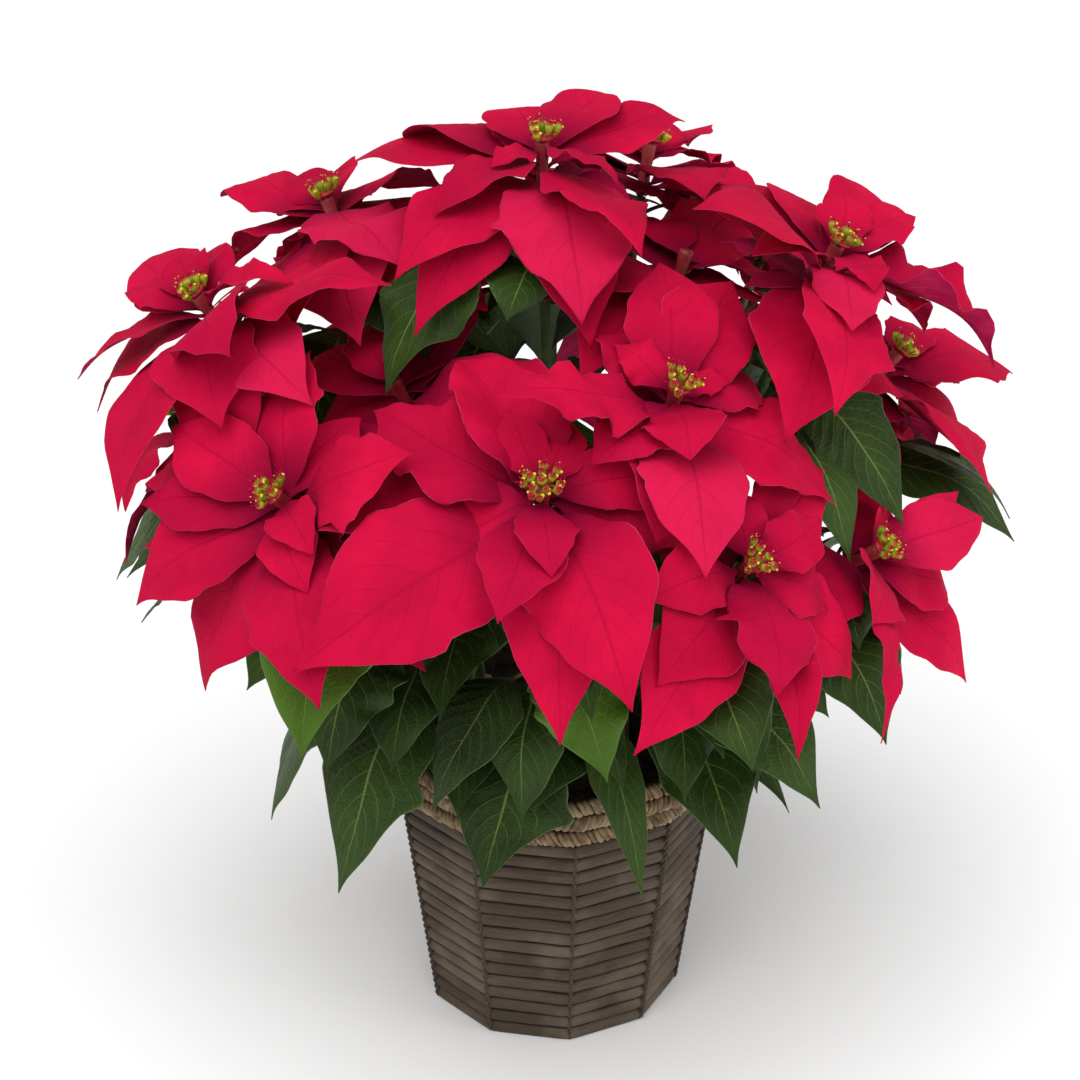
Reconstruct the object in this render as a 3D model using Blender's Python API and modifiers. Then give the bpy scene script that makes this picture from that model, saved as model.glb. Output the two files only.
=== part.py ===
"""A poinsettia in its basket: three rooted cuttings in a nursery pot of soil, standing in a woven ten-sided
basket. Lengths are in millimetres and turned into metres as each object is made. The origin is the middle of
the basket's base, +Z is up, and the side that is seen first looks along -Y."""

import math
import random
from dataclasses import dataclass, replace

import bmesh
import bpy
from mathutils import Matrix, Vector
from mathutils.bvhtree import BVHTree

MM = 0.001
GAP = 0.3
WELD = 0.01 * MM
OBJECT_NAME = "poinsettia"

# Basket: a ten-sided tapered cup of lapped strips
SIDES = 10
BASKET_TURN = math.radians(25.5)
BASE_R = 84.0
BROWN_TOP_R = 105.0
BROWN_H = 158.0
BASKET_WALL = 4.0
BASKET_FLOOR = 4.0
STRIPS = 16
STRIP_LAP = 1.6
STRIP_EDGE = 0.6

# Seagrass band round the basket's mouth
RIM_H = 36.0
RIM_TOP_R = 113.0
RIM_IN = 6.0
RIM_ROWS = 3
RIM_GROOVE = 0.6
RIM_BULGE = 3.6
RIM_STEPS = 20
RIM_STRAND = 1.2
RIM_LIP = 2.0

# Cords over the ten corners
CORD_R = 1.4
CORD_CLEAR = 0.4
CORD_DROP = 3.0

# Nursery pot and soil
POT_BASE_R = 62.0
POT_TOP_R = 86.0
POT_H = 168.0
POT_WALL = 1.6
POT_LIP = 3.5
POT_SIDES = 16
POT_FLOOR = 3.0
POT_LIP_H = 6.0
SOIL_TOP = 152.0
SOIL_SINK = 5.0
SOIL_SIDES = 16

# Stems
HOLE_R = 6.8
HOLE_DEPTH = 45.0
HOLE_SIDES = 10
TRUNK_R = 6.3
FORK_Z = 212.0
BRANCH_R = 3.6
BRANCH_TIP_R = 3.0
BRANCH_POINTS = 5

# How repeats are joined: solver, and the bend in degrees under which faces are merged again
JOIN_TRIES = (("EXACT", 3.0), ("EXACT", 1.0), ("EXACT", 0.0), ("MANIFOLD", 0.0))

# Blooms
HUB_R = 4.2
HUB_H = 32.0
HUB_DROP = 4.0
HUB_SIDES = 6
FIRST_ROOT = 7.0
LAST_ROOT = 27.0
BRACT_THICK = 1.6
LEAF_THICK = 1.6
ROOT_R = 1.4
ROOT_SUNK = 1.9
DOME_CENTRE = Vector((0.0, 0.0, 330.0))
UPWARD = 0.6

# Flower cluster: a low disc, and cups on it in rings round a middle one
CUPS = 5
CUPS_TWIN = 9
DISC_R = 8.6
DISC_FOOT_R = 7.0
DISC_SUNK = 1.0
INNER_RING = 5.2
OUTER_RING = 8.6
CUP_H = 11.0
CUP_FALL = 0.35
CUP_LEAN = 0.05
CUP_SUNK = 2.4
CUP_R = 3.2
CUP_FOOT_R = 2.0

# Clearance kept between blades of different nodes, and between those of one node past their stalks
ROOM = 1.3
OWN_ROOM = 0.4
OWN_START = 0.25

# The direction the plant is first seen from: level with its front, 24 degrees up
VIEW_RISE = math.radians(24.0)
VIEW_UP = Vector((0.0, math.sin(VIEW_RISE), math.cos(VIEW_RISE)))
VIEW_NEAR = Vector((0.0, -math.cos(VIEW_RISE), math.sin(VIEW_RISE)))

# Each cutting's place in the soil
PLANT_FEET = {"left": Vector((-44.0, 14.0, 0.0)), "right": Vector((44.0, 14.0, 0.0)),
              "middle": Vector((0.0, -38.0, 0.0))}

# Blooms: cutting, centre of the flower cluster, then bracts as (right, up, length, width), where right and up
# place the tip as seen from the front. A bloom without rows gets its bracts by rule.
BLOOMS = {
    "bloom_01": ("middle", (-7, -10, 570), (
        (-29, -22, 40, 20), (44, -32, 62, 30), (-23, 24, 70, 44), (43, 34, 84, 42), (-60, -51, 84, 42),
        (-13, 32, 86, 46), (85, 19, 100, 44), (-85, 27, 112, 58), (56, -74, 112, 54), (24, -89, 120, 70),
        (-122, -6, 126, 60), (-81, -87, 126, 60), (-70, -118, 142, 54), (30, -112, 128, 56))),
    "bloom_02": ("left", (-205, -40, 488), (
        (-14, 24, 44, 30), (60, 2, 64, 30), (-45, 2, 56, 30), (6, 33, 70, 42), (-72, -48, 92, 36),
        (-45, 30, 84, 46), (116, 0, 124, 62), (-64, -66, 104, 46), (26, -82, 104, 56), (46, -44, 98, 50),
        (-51, -110, 130, 56), (34, -112, 128, 56), (84, -62, 120, 52))),
    "bloom_03": ("right", (160, -50, 521), (
        (5, 30, 46, 30), (14, -33, 44, 28), (48, 18, 66, 34), (-54, -14, 66, 34), (-1, -56, 72, 40),
        (-34, 39, 92, 46), (-63, 50, 104, 54), (40, 40, 96, 48), (60, -44, 98, 50), (90, -78, 124, 54),
        (-88, 6, 112, 54), (-37, -116, 130, 70), (28, -104, 124, 54))),
    "bloom_04": ("middle", (-7, -195, 433), (
        (-18, 40, 52, 26), (17, 35, 52, 28), (5, -47, 58, 30), (-66, -40, 82, 46), (80, 13, 96, 34),
        (-80, -16, 98, 38), (84, -28, 96, 42), (-21, -62, 84, 40), (-92, 44, 116, 54), (44, -114, 128, 62),
        (-46, 66, 112, 54), (-118, -110, 156, 78), (8, -112, 124, 48))),
    "bloom_05": ("left", (-152, -150, 410), (
        (26, -34, 50, 26), (20, -52, 62, 32), (-60, 38, 84, 44), (45, 42, 78, 42), (-76, 4, 90, 38),
        (16, 80, 96, 44), (78, 20, 96, 48), (-80, -62, 110, 54), (90, -22, 114, 54), (-46, -110, 126, 68),
        (24, -88, 116, 52), (-110, -60, 130, 50), (62, -74, 118, 52))),
    "bloom_06": ("middle", (66, -140, 468), (
        (-34, 22, 46, 26), (31, 4, 44, 14), (2, -42, 58, 40), (-46, -40, 70, 40), (52, 28, 76, 52),
        (-48, 32, 76, 36), (-8, 72, 96, 46), (34, 62, 98, 52), (64, -6, 94, 52), (-96, -10, 110, 42),
        (84, -60, 118, 62), (14, -86, 108, 54), (-34, -78, 104, 48))),
    "bloom_07": ("right", (105, -190, 388), (
        (-17, 40, 52, 30), (34, 28, 58, 30), (43, -28, 66, 34), (-60, -20, 76, 36), (4, -68, 86, 42),
        (-50, -58, 92, 50), (36, 58, 98, 46), (17, -100, 110, 28), (70, -62, 106, 50), (-44, 56, 98, 44),
        (-48, -98, 126, 50))),
    "bloom_08": ("right", (186, -110, 360), (
        (2, 28, 44, 24), (-13, -42, 60, 42), (50, 32, 76, 18), (60, 14, 78, 40), (-58, -28, 84, 48),
        (46, -28, 80, 46), (-10, -106, 118, 20), (-24, 52, 96, 46), (20, -88, 114, 48), (56, -80, 112, 50))),
    "bloom_09": ("left", (-137, 40, 524), (
        (-21, 18, 44, 30), (-36, -6, 56, 32), (5, 22, 54, 32), (50, -52, 98, 60), (70, 12, 98, 50),
        (-50, 20, 96, 52), (-66, -34, 110, 54), (-20, 38, 104, 54), (34, 36, 104, 54), (-18, -72, 108, 54),
        (28, -98, 124, 60), (80, -66, 126, 56))),
    "bloom_10": ("middle", (60, 90, 545), (
        (16, 16, 46, 30), (-26, 10, 52, 30), (46, -12, 72, 40), (30, 28, 88, 46), (-36, 30, 92, 46),
        (64, 8, 98, 50), (78, -34, 114, 56), (24, -62, 110, 54), (-66, 4, 98, 50), (-12, 20, 96, 52),
        (70, -84, 126, 56), (112, -20, 128, 54))),
    "bloom_11": ("left", (-150, 140, 475), ()),
    "bloom_12": ("middle", (0, 190, 490), ()),
    "bloom_13": ("right", (150, 160, 480), ()),
    "bloom_14": ("left", (-232, 34, 390), ()),
    "bloom_15": ("right", (213, 30, 430), (
        (16, 22, 50, 30), (-24, 16, 52, 32), (40, -14, 70, 36), (34, 26, 84, 46), (-34, 34, 90, 46),
        (66, -22, 102, 54), (-60, -30, 98, 48), (41, -90, 114, 56), (62, -80, 118, 48), (-22, -74, 106, 50),
        (-62, -78, 122, 52))),
    "bloom_16": ("middle", (95, 222, 395), ()),
    "bloom_17": ("left", (-105, 220, 400), ()),
    "bloom_18": ("right", (222, 140, 378), ()),
    "bloom_19": ("left", (-92, -70, 448), (
        (-20, 26, 62, 30), (30, 14, 66, 32), (-4, 60, 96, 54), (72, 44, 112, 60), (-58, 30, 96, 48),
        (88, -12, 124, 64), (-62, -26, 100, 48), (34, 84, 122, 60), (40, -70, 112, 54), (-30, -74, 108, 50))),
    "bloom_20": ("right", (78, -6, 505), (
        (-24, 20, 62, 32), (26, 18, 66, 32), (60, -6, 96, 52), (-66, -14, 108, 58), (30, 60, 98, 48),
        (-40, 48, 96, 48), (74, -50, 112, 56), (-62, -66, 118, 60), (10, -76, 108, 58))),
}
# Young blooms, whose flower cluster doesn't show yet
YOUNG = ("bloom_19", "bloom_20")
RULE_BRACTS = 10
RULE_SHORT = 48.0
RULE_LONG = 122.0
GOLDEN_TURN = math.radians(137.5)

# Leaves that hang where they show: bloom whose branch carries them, share along that branch, tip, width
SHOWN_LEAVES = (
    ("bloom_05", 0.35, (-176, -92, 172), 78), ("bloom_05", 0.22, (-128, -128, 142), 86),
    ("bloom_04", 0.30, (-70, -140, 206), 80), ("bloom_04", 0.10, (-42, -150, 160), 70),
    ("bloom_06", 0.16, (52, -150, 152), 38), ("bloom_07", 0.12, (88, -132, 141), 64),
    ("bloom_04", 0.20, (40, -152, 225), 26), ("bloom_07", 0.24, (76, -140, 213), 50),
    ("bloom_07", 0.35, (156, -124, 198), 68), ("bloom_08", 0.12, (128, -82, 185), 50),
    ("bloom_08", 0.05, (142, -66, 150), 34), ("bloom_08", 0.55, (258, -66, 264), 34),
    ("bloom_08", 0.42, (192, -98, 250), 44), ("bloom_05", 0.66, (-240, -96, 308), 46),
    ("bloom_05", 0.12, (-108, -106, 196), 50), ("bloom_15", 0.72, (278, -24, 378), 48),
    ("bloom_09", 0.80, (-108, -10, 500), 40), ("bloom_03", 0.70, (214, -66, 366), 52),
    ("bloom_14", 0.60, (-262, -20, 300), 52), ("bloom_04", 0.62, (20, -206, 300), 44),
    ("bloom_04", 0.34, (-24, -160, 214), 56), ("bloom_04", 0.44, (30, -176, 246), 54),
    ("bloom_05", 0.46, (-130, -150, 236), 56), ("bloom_07", 0.46, (116, -150, 236), 54),
    ("bloom_05", 0.30, (-94, -140, 232), 54), ("bloom_08", 0.30, (168, -64, 226), 52),
    ("bloom_14", 0.30, (-190, -40, 232), 56), ("bloom_19", 0.30, (-66, -132, 262), 50),
    ("bloom_06", 0.06, (14, -152, 186), 66), ("bloom_19", 0.10, (-92, -136, 206), 66),
    ("bloom_20", 0.12, (98, -132, 236), 64), ("bloom_19", 0.20, (-150, -84, 222), 60),
    ("bloom_01", 0.30, (-20, -120, 300), 60), ("bloom_20", 0.40, (110, -96, 330), 60),
    ("bloom_19", 0.60, (-120, -120, 350), 60), ("bloom_01", 0.60, (-60, -96, 430), 60),
)
# How many of them are seen whole. The rest are partly hidden and get a plainer outline.
WHOLE_LEAVES = 16
LEAF_SHARES = (0.30, 0.66, 0.86)
LEAF_LONG = 124.0
LEAF_WIDE = 64.0

# Outline of a blade: share along it, and half width as a share of the greatest
BRACT_OUTLINE = ((0.13, 0.08), (0.30, 0.80), (0.52, 1.0), (0.78, 0.55))
SMALL_OUTLINE = ((0.16, 0.10), (0.42, 0.95), (0.74, 0.62))
LEAF_OUTLINE = ((0.30, 0.08), (0.44, 0.92), (0.65, 0.94), (0.86, 0.44))
INNER_OUTLINE = ((0.26, 0.08), (0.50, 0.98), (0.78, 0.64))
SMALL_BRACT = 90.0
BRACT_FULLNESS = 1.1

BRACT_RED = (0.62, 0.006, 0.045, 1.0)
LEAF_GREEN = (0.035, 0.11, 0.02, 1.0)
BUD_GREEN = (0.45, 0.42, 0.05, 1.0)
STRIP_BROWN = (0.085, 0.062, 0.052, 1.0)
CORD_BROWN = (0.03, 0.02, 0.017, 1.0)
SEAGRASS = (0.42, 0.29, 0.16, 1.0)
POT_BLACK = (0.02, 0.02, 0.02, 1.0)
SOIL_BROWN = (0.045, 0.028, 0.018, 1.0)


@dataclass(frozen=True)
class Blade:
    """One bract or leaf. Its midline runs from root to tip and is arched by lift."""
    root: Vector
    tip: Vector
    lift: Vector
    width: float
    thick: float
    outline: tuple
    roll: float
    twist: float
    wave: float
    phase: float


def start_empty():
    """Removes whatever the file holds."""
    for old in list(bpy.data.objects):
        bpy.data.objects.remove(old, do_unlink=True)


def new_collection(name):
    collection = bpy.data.collections.new(name)
    bpy.context.scene.collection.children.link(collection)
    return collection


def finish(name, colour, roughness):
    """A Principled material."""
    material = bpy.data.materials.new(name)
    material.use_nodes = True
    shader = material.node_tree.nodes["Principled BSDF"]
    shader.inputs["Base Color"].default_value = colour
    shader.inputs["Roughness"].default_value = roughness
    shader.inputs["Metallic"].default_value = 0.0
    return material


def mesh_object(name, verts, faces, collection, material=None):
    """An object from points in millimetres."""
    mesh = bpy.data.meshes.new(name)
    mesh.from_pydata([Vector(point) * MM for point in verts], [], faces)
    mesh.update()
    obj = bpy.data.objects.new(name, mesh)
    collection.objects.link(obj)
    if material:
        mesh.materials.append(material)
    return obj


def faces_outward(obj):
    """Points every face of a closed mesh outward."""
    work = bmesh.new()
    work.from_mesh(obj.data)
    bmesh.ops.recalc_face_normals(work, faces=work.faces)
    work.to_mesh(obj.data)
    work.free()


def evaluated_mesh(obj):
    depsgraph = bpy.context.evaluated_depsgraph_get()
    return bpy.data.meshes.new_from_object(obj.evaluated_get(depsgraph), depsgraph=depsgraph)


def is_closed(mesh):
    work = bmesh.new()
    work.from_mesh(mesh)
    closed = bool(work.faces) and all(edge.is_manifold for edge in work.edges)
    work.free()
    return closed


def keep_largest_piece(mesh, bend):
    """Drops loose scraps and sealed hollows, so one outer skin is left, and merges nearly level faces."""
    work = bmesh.new()
    work.from_mesh(mesh)
    work.verts.ensure_lookup_table()
    unseen = set(work.verts)
    pieces = []
    while unseen:
        reach = [unseen.pop()]
        piece = set(reach)
        while reach:
            for edge in reach.pop().link_edges:
                for other in edge.verts:
                    if other in unseen:
                        unseen.discard(other)
                        piece.add(other)
                        reach.append(other)
        pieces.append(piece)
    pieces.sort(key=len)
    for piece in pieces[:-1]:
        bmesh.ops.delete(work, geom=list(piece), context="VERTS")
    if bend:
        bmesh.ops.dissolve_limit(work, angle_limit=bend, verts=work.verts, edges=work.edges)
    bmesh.ops.triangulate(work, faces=work.faces)
    work.to_mesh(mesh)
    work.free()


def join_solids(name, solids, collection, material):
    """Joins overlapping closed solids, given as (points, faces), into one closed body."""
    pieces = new_collection(name + "_pieces")
    core, *others = [mesh_object(f"{name}_piece", verts, faces, pieces) for verts, faces in solids]
    for piece in (core, *others):
        faces_outward(piece)
    pieces.objects.unlink(core)
    collection.objects.link(core)
    join = core.modifiers.new("join", "BOOLEAN")
    join.operation = "UNION"
    join.operand_type = "COLLECTION"
    join.collection = pieces
    for solver, bend in JOIN_TRIES:
        join.solver = solver
        mesh = evaluated_mesh(core)
        keep_largest_piece(mesh, math.radians(bend))
        if is_closed(mesh):
            break
    for piece in (core, *others):
        bpy.data.objects.remove(piece, do_unlink=True)
    bpy.data.collections.remove(pieces)
    mesh.name = name
    mesh.materials.clear()
    mesh.materials.append(material)
    joined = bpy.data.objects.new(name, mesh)
    collection.objects.link(joined)
    return joined


def turned(name, profile, sides, turn, collection, material):
    """A closed profile of (radius, height) points turned about Z."""
    edges = [(i, i + 1) for i in range(len(profile) - 1)]
    mesh = bpy.data.meshes.new(name)
    mesh.from_pydata([(r * MM, 0.0, z * MM) for r, z in profile], edges, [])
    mesh.materials.append(material)
    obj = bpy.data.objects.new(name, mesh)
    obj.rotation_euler.z = turn
    collection.objects.link(obj)
    screw = obj.modifiers.new("turn", "SCREW")
    screw.steps = screw.render_steps = sides
    screw.use_merge_vertices = True
    screw.merge_threshold = 0.00005
    return obj


def basket_r(z):
    """Radius of the brown body's corners at a height."""
    return BASE_R + (BROWN_TOP_R - BASE_R) * z / BROWN_H


def make_basket_body(collection):
    """The cup: each strip stands proud at its lower edge and tucks under the one above."""
    strip_h = BROWN_H / STRIPS
    inner_top = (BROWN_TOP_R - BASKET_WALL, BROWN_H)
    profile = [(0.0, BASKET_FLOOR), (BASE_R - BASKET_WALL, BASKET_FLOOR), inner_top]
    for strip in reversed(range(STRIPS)):
        high = (strip + 1) * strip_h
        low = strip * strip_h
        profile.append((basket_r(high) - STRIP_LAP, high))
        profile.append((basket_r(low), low + (STRIP_EDGE if strip else 0.0)))
    profile.append((0.0, 0.0))
    return turned("basket_body", profile, SIDES, BASKET_TURN, collection,
                  finish("woven_strips", STRIP_BROWN, 0.75))


def corner_share(angle):
    """How far a ten-sided outline lies out at an angle, as a share of its corner radius."""
    slice_angle = 2 * math.pi / SIDES
    off = (angle - BASKET_TURN) % slice_angle - slice_angle / 2
    flat = math.cos(slice_angle / 2) / math.cos(off)
    return 0.65 * flat + 0.35 * math.cos(slice_angle / 4)


def make_basket_rim(collection):
    """Three wound rows of seagrass, as rounded rows with a strand relief."""
    bottom = BROWN_H + GAP
    row_h = RIM_H / RIM_ROWS
    flare = (RIM_TOP_R - BROWN_TOP_R) / RIM_H
    verts = []
    rings = []
    for step in range(RIM_STEPS):
        angle = BASKET_TURN + 2 * math.pi * step / RIM_STEPS
        section = [(BROWN_TOP_R - RIM_IN, bottom)]
        for row in range(RIM_ROWS):
            low = bottom + row * row_h
            strand = RIM_STRAND * (1 if (step + row) % 2 else -1)
            wall = BROWN_TOP_R + flare * (row + 0.5) * row_h
            section.append((wall - RIM_GROOVE - strand / 2, low))
            section.append((wall + RIM_BULGE + strand, low + 0.5 * row_h))
        section.append((RIM_TOP_R - RIM_LIP, bottom + RIM_H))
        section.append((RIM_TOP_R - RIM_IN, bottom + RIM_H - RIM_LIP))
        ring = []
        for radius, height in section:
            reach = radius * corner_share(angle)
            ring.append(len(verts))
            verts.append((reach * math.cos(angle), reach * math.sin(angle), height))
        rings.append(ring)
    faces = []
    for step, ring in enumerate(rings):
        following = rings[(step + 1) % RIM_STEPS]
        for i, low in enumerate(ring):
            j = (i + 1) % len(ring)
            faces.append((low, following[i], following[j]))
            faces.append((low, following[j], ring[j]))
    rim = mesh_object("basket_rim", verts, faces, collection, finish("seagrass", SEAGRASS, 0.85))
    faces_outward(rim)
    return rim


def make_seam_cords(collection):
    """A cord down each corner of the basket, clear of the strips' lower edges."""
    material = finish("corner_cord", CORD_BROWN, 0.8)
    for corner in range(SIDES):
        angle = BASKET_TURN + 2 * math.pi * corner / SIDES
        out = Vector((math.cos(angle), math.sin(angle), 0.0))
        route = [out * (basket_r(z) + CORD_R + CORD_CLEAR) + Vector((0, 0, z))
                 for z in (CORD_DROP, BROWN_H - CORD_DROP)]
        cord = mesh_object(f"corner_cord_{corner + 1:02d}", *tube_solid(route, [CORD_R, CORD_R]), collection,
                           material)
        faces_outward(cord)


def tube_solid(route, radii):
    """A tube along a route of points as (points, faces), made as a curve, with its caps welded on."""
    curve = bpy.data.curves.new("guide", "CURVE")
    curve.dimensions = "3D"
    curve.bevel_depth = MM
    curve.bevel_resolution = 1
    curve.use_fill_caps = True
    spline = curve.splines.new("POLY")
    spline.points.add(len(route) - 1)
    for point, place_on, radius in zip(spline.points, route, radii):
        point.co = (*(place_on * MM), 1.0)
        point.radius = radius
    guide = bpy.data.objects.new("guide", curve)
    bpy.context.scene.collection.objects.link(guide)
    mesh = evaluated_mesh(guide)
    bpy.data.objects.remove(guide, do_unlink=True)
    work = bmesh.new()
    work.from_mesh(mesh)
    bmesh.ops.remove_doubles(work, verts=work.verts, dist=WELD)
    bmesh.ops.recalc_face_normals(work, faces=work.faces)
    work.to_mesh(mesh)
    work.free()
    verts = [vert.co / MM for vert in mesh.vertices]
    faces = [tuple(face.vertices) for face in mesh.polygons]
    bpy.data.meshes.remove(mesh)
    return verts, faces


def pot_bottom():
    return BASKET_FLOOR + GAP


def make_nursery_pot(collection):
    """A thin tapered pot with a turned-out lip."""
    low = pot_bottom()
    top = low + POT_H
    under_lip = top - POT_LIP_H
    profile = [(0.0, low + POT_FLOOR), (POT_BASE_R - POT_WALL, low + POT_FLOOR), (POT_TOP_R - POT_WALL, top),
               (POT_TOP_R + POT_LIP, top), (POT_TOP_R + POT_LIP, under_lip), (POT_TOP_R - 0.8, under_lip),
               (POT_BASE_R, low), (0.0, low)]
    return turned("nursery_pot", profile, POT_SIDES, 0.0, collection, finish("pot_plastic", POT_BLACK, 0.45))


def make_soil(collection, cutters):
    """The root ball: it fills the pot, and has a plain hole for each cutting."""
    low = pot_bottom() + POT_FLOOR + GAP
    slope = (POT_TOP_R - POT_BASE_R) / POT_H
    side = math.cos(math.pi / POT_SIDES)

    def inside(z):
        return (POT_BASE_R - POT_WALL + slope * (z - low)) * side - 2 * GAP

    edge = SOIL_TOP - SOIL_SINK
    profile = [(0.0, SOIL_TOP), (inside(edge) - 8.0, edge + 2.0), (inside(edge), edge), (inside(low), low),
               (0.0, low)]
    soil = turned("soil", profile, SOIL_SIDES, 0.0, collection, finish("potting_soil", SOIL_BROWN, 0.95))
    for label, foot in PLANT_FEET.items():
        work = bmesh.new()
        bmesh.ops.create_cone(work, cap_ends=True, segments=HOLE_SIDES, radius1=HOLE_R * MM,
                              radius2=HOLE_R * MM, depth=2 * HOLE_DEPTH * MM)
        mesh = bpy.data.meshes.new("hole_" + label)
        work.to_mesh(mesh)
        work.free()
        hole = bpy.data.objects.new("hole_" + label, mesh)
        hole.location = (foot + Vector((0, 0, SOIL_TOP))) * MM
        hole.hide_render = True
        hole.display_type = "WIRE"
        cutters.objects.link(hole)
        cut = soil.modifiers.new("hole_" + label, "BOOLEAN")
        cut.operation = "DIFFERENCE"
        cut.object = hole
    return soil


def blade_frame(blade, share):
    """Middle, side direction and upper normal of a blade at a share of its length."""
    chord = blade.tip - blade.root
    middle = blade.root + chord * share + blade.lift * (4 * share * (1 - share))
    along = (chord + blade.lift * (4 - 8 * share)).normalized()
    level = along.cross(blade.lift).normalized()
    side = Matrix.Rotation(blade.roll + blade.twist * share, 3, along) @ level
    return middle, side, side.cross(along)


def blade_rings(blade, start):
    """Middle, side, normal and half width of a blade from its root, or from a share of its length, onward."""
    rings = []
    for share, fill in ((start, 0.0), *[step for step in blade.outline if step[0] > start]):
        middle, side, normal = blade_frame(blade, share)
        middle += normal * blade.wave * fill * math.sin(blade.phase + 9.0 * share)
        rings.append((middle, side, normal, max(blade.width / 2 * fill, ROOT_R)))
    return rings


def blade_solid(blade):
    """A blade as (points, faces): level above, with a keel under the midrib."""
    verts = []
    for middle, side, normal, half in blade_rings(blade, 0.0):
        verts += [middle - side * half, middle + side * half, middle - normal * blade.thick]
    faces = [(0, 2, 1)] + skin(len(verts) // 3, 3)
    verts.append(blade.tip)
    return verts, faces


def blade_room(blade, room, start=0.0):
    """A box-sectioned hull round a blade, that much bigger on every side."""
    verts = []
    for middle, side, normal, half in blade_rings(blade, start):
        reach = side * (half + room)
        top = middle + normal * room
        under = middle - normal * (blade.thick + room)
        verts += [top - reach, top + reach, under + reach, under - reach]
    faces = [(0, 3, 2, 1)] + skin(len(verts) // 4, 4)
    verts.append(blade.tip + (blade.tip - blade.root).normalized() * room)
    return verts, faces


def skin(rings, count):
    """Triangles along rings of points, and from the last ring to one tip point after them."""
    faces = []
    for ring in range(rings - 1):
        for i in range(count):
            low = count * ring + i
            following = count * ring + (i + 1) % count
            faces += [(low, following, following + count), (low, following + count, low + count)]
    last = count * (rings - 1)
    faces += [(last + i, last + (i + 1) % count, last + count) for i in range(count)]
    return faces


class Thicket:
    """What is already placed, so that a new blade can be kept clear of it."""

    def __init__(self):
        self.placed = []

    @staticmethod
    def tree(solid):
        verts, faces = solid
        low = Vector(min(v[i] for v in verts) for i in range(3))
        high = Vector(max(v[i] for v in verts) for i in range(3))
        return low, high, BVHTree.FromPolygons(verts, faces, epsilon=0.0)

    def add(self, owner, solid):
        self.placed.append((owner, *self.tree(solid)))

    def meets(self, solid, owner, same_owner):
        low, high, tree = self.tree(solid)
        for other, other_low, other_high, other_tree in self.placed:
            if (other == owner) != same_owner:
                continue
            apart = any(low[i] > other_high[i] or other_low[i] > high[i] for i in range(3))
            if not apart and tree.overlap(other_tree):
                return True
        return False


def nudges():
    """Small changes to a blade, the slightest first: turn about its axis, dip, and share of its length."""
    found = []
    for turn in (0, 1, -1, 2, -2, 3, -3):
        for dip in (0, 1, -1, 2, -2, 3, 4):
            for cut in (0, 1, 2):
                found.append((abs(turn) + abs(dip) + 1.4 * cut, turn, dip, cut))
    found.sort()
    return [(math.radians(7 * turn), math.radians(6 * dip), 1 - 0.09 * cut) for _, turn, dip, cut in found]


NUDGES = nudges()


def nudged(blade, axis, turn, dip, share):
    """The blade turned about an axis, dipped away from it and shortened."""
    chord = blade.tip - blade.root
    hinge = axis.cross(chord).normalized()
    move = Matrix.Rotation(turn, 3, axis) @ Matrix.Rotation(dip, 3, hinge)
    return replace(blade, tip=blade.root + move @ chord * share, lift=move @ blade.lift,
                   width=blade.width * (1 + share) / 2)


def place(blade, axis, owner, thicket):
    """The blade in the first nearby position that is clear of everything placed, or None."""
    for tidy in (True, False):
        for turn, dip, share in NUDGES:
            trial = nudged(blade, axis, turn, dip, share)
            if thicket.meets(blade_room(trial, ROOM), owner, False):
                continue
            if tidy and thicket.meets(blade_room(trial, OWN_ROOM, OWN_START), owner, True):
                continue
            thicket.add(owner, blade_solid(trial))
            return trial
    return None


def bloom_axis(centre):
    """A bloom faces outward from the middle of the dome, turned towards the light above."""
    outward = (centre - DOME_CENTRE).normalized()
    return (outward + Vector((0, 0, UPWARD))).normalized()


def seen_offset(right, up, length, axis):
    """From how a tip is seen to where it is: of the two depths that fit, the one nearer the bloom's dish."""
    flat = Vector((right, 0, 0)) + VIEW_UP * up
    depth = math.sqrt(max(length ** 2 - flat.length_squared, 0.0))
    both = [flat + VIEW_NEAR * depth, flat - VIEW_NEAR * depth]
    return min(both, key=lambda offset: abs(offset.dot(axis) + 0.22 * length))


def bloom_rows(axis, rows, rng):
    """Tip offsets, lengths and widths of a bloom's bracts, short inner ones first."""
    if rows:
        return [(seen_offset(right, up, length, axis), length, width) for right, up, length, width in rows]
    across = axis.orthogonal().normalized()
    heading = rng.uniform(0, 2 * math.pi)
    found = []
    for k in range(RULE_BRACTS):
        share = k / (RULE_BRACTS - 1)
        length = RULE_SHORT + (RULE_LONG - RULE_SHORT) * share ** 0.7
        away = Matrix.Rotation(heading + k * GOLDEN_TURN, 3, axis) @ across
        dip = math.radians(4.0 + 26.0 * share + rng.uniform(-5, 5))
        offset = (away * math.cos(dip) - axis * math.sin(dip)) * length
        found.append((offset, length, length * rng.uniform(0.48, 0.58)))
    return found


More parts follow.
